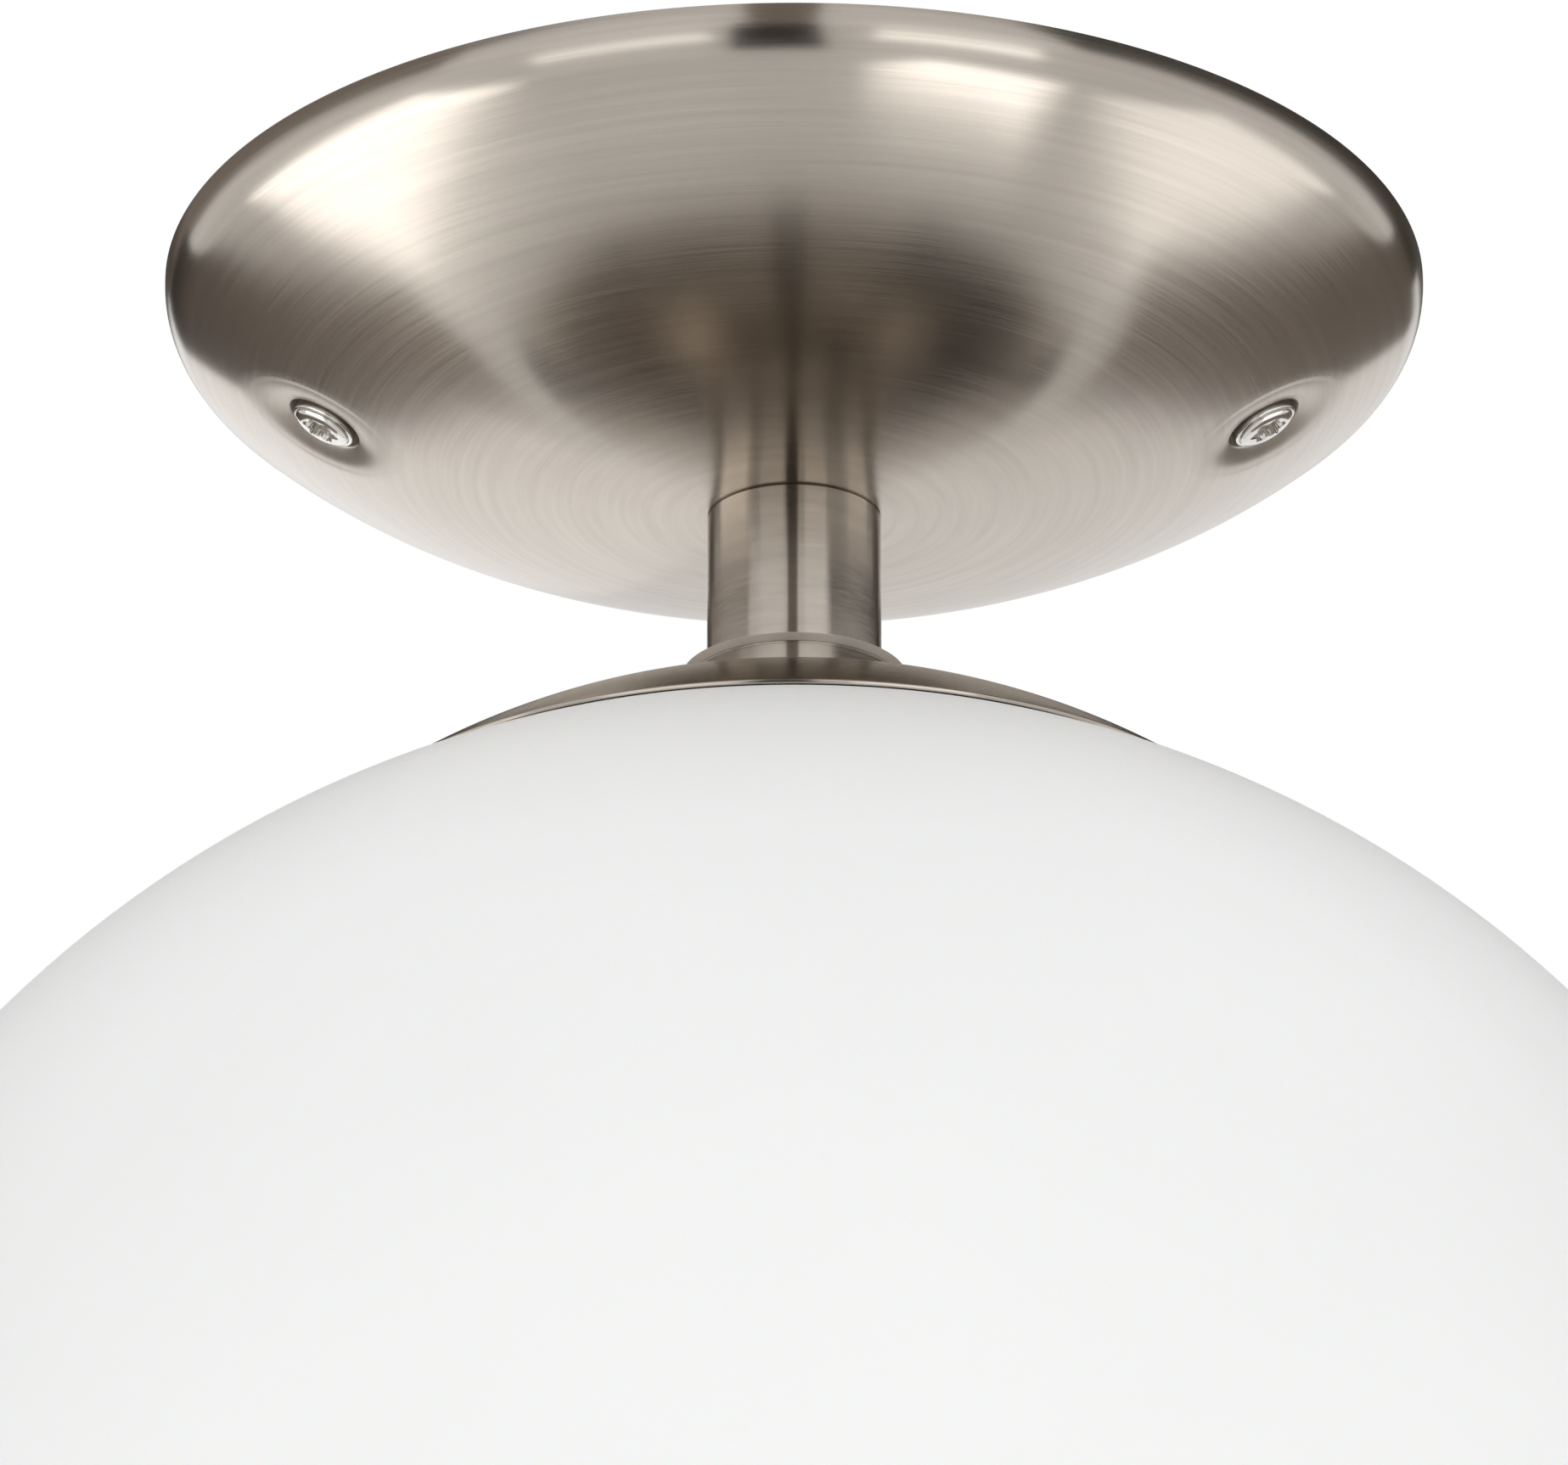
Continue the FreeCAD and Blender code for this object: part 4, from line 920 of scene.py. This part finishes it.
class BuildCap(bpy.types.Operator):
    """Domed cap over the globe"""
    bl_idname = "globelight.cap"
    bl_label = "Cap"

    def execute(self, context):
        s = context.scene.light_globe
        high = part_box("glass_cap")[1]
        rim_r = high.x
        seat_r = 12.75 * MM
        inner_seat_r = 14.0 * MM
        land = 0.3 * MM
        centre_z = high.z - math.sqrt(s.cap_radius ** 2 - seat_r ** 2)
        globe_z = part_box("globe_glass")[0].z + s.globe_radius
        inner = s.cap_radius - s.cap_sheet
        gap_radius = s.globe_radius + s.rim_gap
        first_angle = math.asin(seat_r / s.cap_radius)
        last_angle = math.asin(rim_r / s.cap_radius)
        profile = [(ROD_HOLE, high.z), (seat_r, high.z)]
        profile += bow(centre_z, s.cap_radius, first_angle, last_angle, 44)
        land_r = rim_r * (s.cap_radius - land) / s.cap_radius
        profile.append((land_r, globe_z + math.sqrt(gap_radius ** 2 - land_r ** 2)))
        meet = land_r
        while math.hypot(meet, globe_z + math.sqrt(gap_radius ** 2 - meet ** 2) - centre_z) > inner:
            meet -= 0.05 * MM
        profile.append((meet, globe_z + math.sqrt(gap_radius ** 2 - meet ** 2)))
        start = math.asin(min(1.0, meet / inner))
        profile += bow(centre_z, inner, start, math.asin(inner_seat_r / inner), 29)
        profile.append((ROD_HOLE, high.z - s.cap_sheet))
        cap = turned("nickel_cap", eased(profile, s.cap_edge, 3), 256)
        nickel = brushed_nickel(context.scene.light_finishes.nickel, "cap_nickel_finish", 0.17, 0.23, 0.9)
        dress(cap, "fixture", "brushed_nickel", nickel, "glass_cap")
        return {"FINISHED"}


class BuildGlobe(bpy.types.Operator):
    """Opal glass globe, open at the top"""
    bl_idname = "globelight.globe"
    bl_label = "Globe"

    def execute(self, context):
        s = context.scene.light_globe
        low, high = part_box("globe_glass")
        centre_z = low.z + s.globe_radius
        inner = s.globe_radius - s.globe_wall
        rise = high.z - centre_z
        start = math.degrees(math.asin(rise / s.globe_radius))
        inner_start = math.degrees(math.asin(rise / inner))
        outer = [(max(r, 0.0), z) for r, z in arc((0.0, centre_z), s.globe_radius, start, -90.0, 128)]
        inside = [(max(r, 0.0), z) for r, z in arc((0.0, centre_z), inner, inner_start, -90.0, 96)]
        outer[-1] = (0.0, centre_z - s.globe_radius)
        inside[-1] = (0.0, centre_z - inner)
        outline = list(reversed(inside)) + outer
        profile = soft_mouth(outline, len(inside) - 1, 0.5 * MM)
        globe = turned("opal_globe", profile, 256, closed=False, crease_deg=60.0)
        dress(globe, "globe", "opal_glass", opal_glass(context.scene.light_finishes.opal), "globe_glass")
        return {"FINISHED"}


def soft_mouth(outline, corner, radius):
    """Rounds the two corners of the glass's cut edge."""
    result = []
    for i, point in enumerate(outline):
        if i in (corner, corner + 1):
            here = Vector(point)
            back = Vector(outline[i - 1]) - here
            ahead = Vector(outline[i + 1]) - here
            result += bend(here, back, ahead, radius, 4)
        else:
            result.append(point)
    return result


class BuildGlobeFittings(bpy.types.Operator):
    """Threaded rings, soft ring and gallery that carry the globe"""
    bl_idname = "globelight.fittings"
    bl_label = "Globe fittings"

    def execute(self, context):
        colours = context.scene.light_finishes
        aluminium = turned_metal("aluminium_finish", colours.aluminium, 0.30, 0.42)
        finish_nodes(aluminium, "globe_ring", "globe_lock_ring")
        finish_nodes(moulded("soft_ring_finish", colours.soft_ring, 0.6, 0.75, 1500.0), "globe_gasket")
        finish_nodes(plain_metal("gallery_finish", colours.zinc, 0.32, 0.46, 240.0), "gallery")
        return {"FINISHED"}


class BuildRod(bpy.types.Operator):
    """Threaded rod, nuts, washers and bush"""
    bl_idname = "globelight.rod"
    bl_label = "Rod and nuts"

    def execute(self, context):
        colours = context.scene.light_finishes
        zinc = plain_metal("zinc_finish", colours.zinc, 0.28, 0.42, 320.0)
        finish_nodes(zinc, "upper_nut", "upper_washer", "lower_nut", "lower_washer")
        finish_nodes(moulded("bush_finish", colours.white_plastic, 0.4, 0.5, 1800.0), "rod_bush")
        low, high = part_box("stem_rod")
        count = 64
        crest = 5.0 * MM
        root = 4.55 * MM
        end_r = 4.5 * MM
        bore = 3.9 * MM
        pitch = 1.0 * MM
        edge = 0.2 * MM
        rings = circles([(bore, low.z), (end_r, low.z)], count)
        rings += thread_rings(crest, root, pitch, low.z + edge, high.z - edge, count, 6)
        rings += circles([(end_r, high.z), (bore, high.z)], count)
        rod = threaded("threaded_rod", rings)
        dress(rod, "fixture", "zinc_steel", zinc, "stem_rod")
        return {"FINISHED"}


class BuildBracket(bpy.types.Operator):
    """Ceiling bracket and its earth point"""
    bl_idname = "globelight.bracket"
    bl_label = "Bracket and earth point"

    def execute(self, context):
        colours = context.scene.light_finishes
        zinc = plain_metal("bracket_zinc_finish", colours.zinc, 0.30, 0.44, 210.0)
        brass = plain_metal("earth_brass_finish", colours.brass, 0.24, 0.36, 420.0)
        finish_nodes(zinc, "ceiling_bracket", "earth_washer")
        finish_nodes(brass, "earth_tag", "earth_screw")
        return {"FINISHED"}


class BuildBlock(bpy.types.Operator):
    """Terminal block with its sleeves and screws"""
    bl_idname = "globelight.block"
    bl_label = "Terminal block"

    def execute(self, context):
        colours = context.scene.light_finishes
        finish_nodes(moulded("block_finish", colours.white_plastic, 0.36, 0.48, 1400.0), "terminal_block")
        brass = plain_metal("terminal_brass_finish", colours.brass, 0.26, 0.38, 420.0)
        finish_nodes(brass, "terminal_inserts")
        zinc = plain_metal("small_screw_finish", colours.zinc, 0.26, 0.38, 500.0)
        finish_nodes(zinc, "terminal_screws", "block_fixing_screws")
        return {"FINISHED"}


class BuildWires(bpy.types.Operator):
    """Inner wires in their coloured sleeves"""
    bl_idname = "globelight.wires"
    bl_label = "Wires"

    def execute(self, context):
        colours = context.scene.light_finishes
        for word, base in (("live", colours.brown_sleeve), ("neutral", colours.blue_sleeve)):
            sleeve = moulded(word + "_sleeve_finish", base, 0.42, 0.52, SLEEVE_GRAIN)
            finish_nodes(sleeve, "wire_" + word)
        earth = striped_sleeve("earth_sleeve_finish", colours.green_sleeve, colours.yellow_stripe)
        finish_nodes(earth, "wire_earth")
        return {"FINISHED"}


class BuildLampholder(bpy.types.Operator):
    """Lampholder with its threaded shell and contacts"""
    bl_idname = "globelight.lampholder"
    bl_label = "Lampholder"

    def execute(self, context):
        colours = context.scene.light_finishes
        dark = moulded("lampholder_finish", colours.dark_plastic, 0.26, 0.36, 1200.0, 0.06)
        finish_nodes(dark, "holder_dome", "holder_skirt")
        finish_nodes(moulded("holder_core_finish", colours.white_plastic, 0.4, 0.55, 1100.0), "holder_core")
        brass = plain_metal("contact_brass_finish", colours.brass, 0.24, 0.36, 420.0)
        finish_nodes(brass, "holder_live_contact", "holder_side_contact")
        zinc = plain_metal("clamp_screw_finish", colours.zinc, 0.26, 0.38, 500.0)
        finish_nodes(zinc, "holder_clamp_screws")
        low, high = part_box("holder_shell")
        count = 96
        sheet = 0.6 * MM
        ridge = 0.42 * MM
        hole_r = 6.5 * MM
        outer_r = high.x
        inner_r = outer_r - sheet
        top_z = high.z - sheet
        rings = circles([(outer_r, low.z), (inner_r, low.z)], count)
        thread_top = high.z - 0.7 * MM
        rings += thread_rings(inner_r + ridge, inner_r, BULB_PITCH, low.z + sheet, thread_top, count, 10)
        rings += circles([(inner_r, top_z), (hole_r, top_z), (hole_r, high.z), (outer_r, high.z)], count)
        shell = threaded("threaded_shell", rings)
        finish = turned_metal("shell_brass_finish", colours.brass, 0.22, 0.34)
        dress(shell, "fixture", "brass", finish, "holder_shell")
        return {"FINISHED"}


class BuildBulb(bpy.types.Operator):
    """Bulb with its threaded cap"""
    bl_idname = "globelight.bulb"
    bl_label = "Bulb"

    def execute(self, context):
        colours = context.scene.light_finishes
        finish_nodes(bulb_glass(colours.bulb), "bulb_glass")
        finish_nodes(plain_metal("bulb_contact_finish", colours.zinc, 0.25, 0.4, 700.0), "bulb_contact")
        insulator = moulded("bulb_insulator_finish", colours.dark_plastic, 0.2, 0.3, 900.0)
        finish_nodes(insulator, "bulb_insulator")
        low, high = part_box("bulb_cap")
        count = 96
        crest = high.x
        root = crest - 0.6 * MM
        inner = crest - 0.95 * MM
        shoulder = 3.0 * MM
        neck = 7.8 * MM
        swell = 0.5 * MM
        wall = 0.8 * MM
        mouth = 1.5 * MM
        rings = circles([(inner, low.z), (root, low.z)], count)
        rings += thread_rings(crest, root, BULB_PITCH, low.z + mouth, high.z - shoulder, count, 12)
        rings += circles([((root + neck) / 2 + swell, high.z - shoulder * 0.42), (neck, high.z),
                          (neck, high.z - wall), (inner, high.z - shoulder - wall)], count)
        cap = threaded("bulb_screw_cap", rings)
        finish = turned_metal("bulb_cap_finish", colours.aluminium, 0.2, 0.32)
        dress(cap, "bulb", "aluminium", finish, "bulb_cap")
        return {"FINISHED"}


# The cards stand on a ball of this radius about this point
CARD_AWAY = 1.6
CARD_MIDDLE = Vector((0, 0, -0.02))


class BuildStage(bpy.types.Operator):
    """Floor, soft light and the camera at the photograph's angle"""
    bl_idname = "globelight.stage"
    bl_label = "Stage"

    def execute(self, context):
        s = context.scene.light_stage
        scene = context.scene
        scene.view_settings.view_transform = "Standard"
        self.add_world(scene, s)
        self.add_floor(s)
        self.add_panel("front_panel", (0.25, -1.7, -1.5), 1.7, s.front_power)
        dark, grey, back, bright = s.dark_card, s.grey_card, s.back_card, s.bright_card
        white = (1.0, 1.0, 1.0)
        for card in (
                ("left_flag", -38, -14, 23, 60, dark * 0.3, s.room, dark * 10),
                ("right_flag", 41, -20, 24, 60, dark * 5, s.room, dark * 8),
                ("left_softbox", -88, -36, 46, 32, bright, white),
                ("right_softbox", 84, -37, 34, 36, bright * 0.66, white),
                ("back_left", -16, -9, 22, 52, back * 1.10, white),
                ("back_right", 12, -9, 34, 52, back * 0.93, white),
                ("high_flag", 0, 43, 70, 44, grey * 0.3, s.room),
                ("overhead_flag", 180, 60, 120, 48, grey * 0.2, s.room),
                ("left_room", -74, 30, 88, 40, grey * 0.8, s.room),
                ("right_room", 84, 30, 96, 40, grey * 0.2, s.room),
                ("front_gap", -178, 26, 12, 48, grey * 0.9, s.room),
                ("camera_gap", -177, -20, 15, 42, dark * 0.3, s.room),
                ("front_low_right", 152, -14, 28, 13, bright * 0.9, white),
                ("front_low_left", -150, -18, 30, 13, bright * 0.7, white),
                ("low_softbox", 133, -60, 22, 18, bright * 1.2, white)):
            self.add_card(*card)
        self.add_camera(scene, s)
        return {"FINISHED"}

    def add_world(self, scene, s):
        world = bpy.data.worlds.new("studio")
        world.use_nodes = True
        nodes, links = world.node_tree.nodes, world.node_tree.links
        nodes.clear()
        path = nodes.new("ShaderNodeLightPath")
        seen = path.outputs["Is Camera Ray"]
        for ray in ("Is Glossy Ray", "Is Transmission Ray"):
            either = nodes.new("ShaderNodeMath")
            either.operation = "MAXIMUM"
            links.new(seen, either.inputs[0])
            links.new(path.outputs[ray], either.inputs[1])
            seen = either.outputs[0]
        mix = nodes.new("ShaderNodeMixShader")
        links.new(seen, mix.inputs[0])
        for slot, strength in ((1, s.world_level), (2, 1.0)):
            light = nodes.new("ShaderNodeBackground")
            light.inputs["Color"].default_value = (1.0, 1.0, 1.0, 1.0)
            light.inputs["Strength"].default_value = strength
            links.new(light.outputs[0], mix.inputs[slot])
        output = nodes.new("ShaderNodeOutputWorld")
        links.new(mix.outputs[0], output.inputs["Surface"])
        scene.world = world

    def add_floor(self, s):
        count = 96
        floor = mesh_object("floor", circle(45.0, s.floor_level, count), [list(range(count))])
        floor.data.materials.append(moulded("floor_finish", s.floor, 0.7, 0.8, 40.0, 0.02))

    def add_panel(self, name, place, size, power):
        lamp = bpy.data.lights.new(name, "AREA")
        lamp.shape = "DISK"
        lamp.size = size
        lamp.energy = power
        panel = bpy.data.objects.new(name, lamp)
        panel.location = place
        aim = Vector((0, 0, -0.15)) - Vector(place)
        panel.rotation_euler = aim.to_track_quat("-Z", "Y").to_euler()
        panel.visible_camera = False
        panel.visible_glossy = False
        bpy.context.scene.collection.objects.link(panel)

    def add_card(self, name, azimuth, elevation, wide, high, level, tint, low_level=None):
        """Card that only metal and glass reflect, so that it changes no shadow and no diffuse light."""
        around = math.radians(azimuth)
        above = math.radians(elevation)
        level_part = math.cos(above)
        aim = Vector((math.sin(around) * level_part, math.cos(around) * level_part, math.sin(above)))
        half_w = CARD_AWAY * math.tan(math.radians(wide / 2))
        half_h = CARD_AWAY * math.tan(math.radians(high / 2))
        corners = [(-half_w, -half_h, 0), (half_w, -half_h, 0), (half_w, half_h, 0), (-half_w, half_h, 0)]
        card = mesh_object(name, corners, [[0, 1, 2, 3]])
        card.data.transform(aim.to_track_quat("-Z", "Y").to_matrix().to_4x4())
        card.data.transform(Matrix.Translation(aim * CARD_AWAY + CARD_MIDDLE))
        material = bpy.data.materials.new(name + "_glow")
        material.use_nodes = True
        nodes, links = material.node_tree.nodes, material.node_tree.links
        nodes.clear()
        glow = nodes.new("ShaderNodeEmission")
        glow.inputs["Color"].default_value = (*tint, 1.0)
        glow.inputs["Strength"].default_value = level
        if low_level is not None:
            where = nodes.new("ShaderNodeTexCoord")
            split = nodes.new("ShaderNodeSeparateXYZ")
            fade = nodes.new("ShaderNodeMapRange")
            fade.inputs["To Min"].default_value = low_level
            fade.inputs["To Max"].default_value = level
            links.new(where.outputs["Generated"], split.inputs[0])
            links.new(split.outputs["Z"], fade.inputs["Value"])
            links.new(fade.outputs[0], glow.inputs["Strength"])
        output = nodes.new("ShaderNodeOutputMaterial")
        links.new(glow.outputs[0], output.inputs["Surface"])
        card.data.materials.append(material)
        card.visible_camera = False
        card.visible_diffuse = False
        card.visible_transmission = False
        card.visible_shadow = False

    def add_camera(self, scene, s):
        data = bpy.data.cameras.new("photo_camera")
        data.lens = s.lens
        data.sensor_width = 36.0
        data.sensor_fit = "HORIZONTAL"
        data.clip_start = 0.01
        data.clip_end = 120.0
        camera = bpy.data.objects.new("photo_camera", data)
        camera.location = (s.camera_x, s.camera_y, s.camera_z)
        camera.rotation_euler = (math.pi / 2 + s.tilt, 0.0, 0.0)
        scene.collection.objects.link(camera)
        scene.camera = camera


OPERATORS = (BuildCanopy, BuildScrews, BuildStem, BuildCap, BuildGlobe, BuildGlobeFittings, BuildRod,
             BuildBracket, BuildBlock, BuildWires, BuildLampholder, BuildBulb, BuildStage)
GROUPS = {"light_canopy": CanopySizes, "light_screws": ScrewSizes, "light_stem": StemSizes,
          "light_globe": GlobeSizes, "light_finishes": Finishes, "light_stage": StageSettings}


class LightPanel(bpy.types.Panel):
    """Sizes, colours and building steps of the ceiling light"""
    bl_idname = "VIEW3D_PT_globelight"
    bl_label = "Ceiling light"
    bl_space_type = "VIEW_3D"
    bl_region_type = "UI"
    bl_category = "Ceiling light"

    def draw(self, context):
        for group in GROUPS:
            settings = getattr(context.scene, group)
            box = self.layout.box()
            for name in settings.__annotations__:
                box.prop(settings, name)
        for operator in OPERATORS:
            self.layout.operator(operator.bl_idname)


def register():
    for made in (*GROUPS.values(), *OPERATORS, LightPanel):
        bpy.utils.register_class(made)
    for name, group in GROUPS.items():
        setattr(bpy.types.Scene, name, PointerProperty(type=group))


def unregister():
    for name in GROUPS:
        delattr(bpy.types.Scene, name)
    for made in reversed((*GROUPS.values(), *OPERATORS, LightPanel)):
        bpy.utils.unregister_class(made)


def main():
    register()
    for operator in OPERATORS:
        step = operator.bl_idname.split(".")[1]
        getattr(bpy.ops.globelight, step)()


if __name__ == "__main__":
    main()
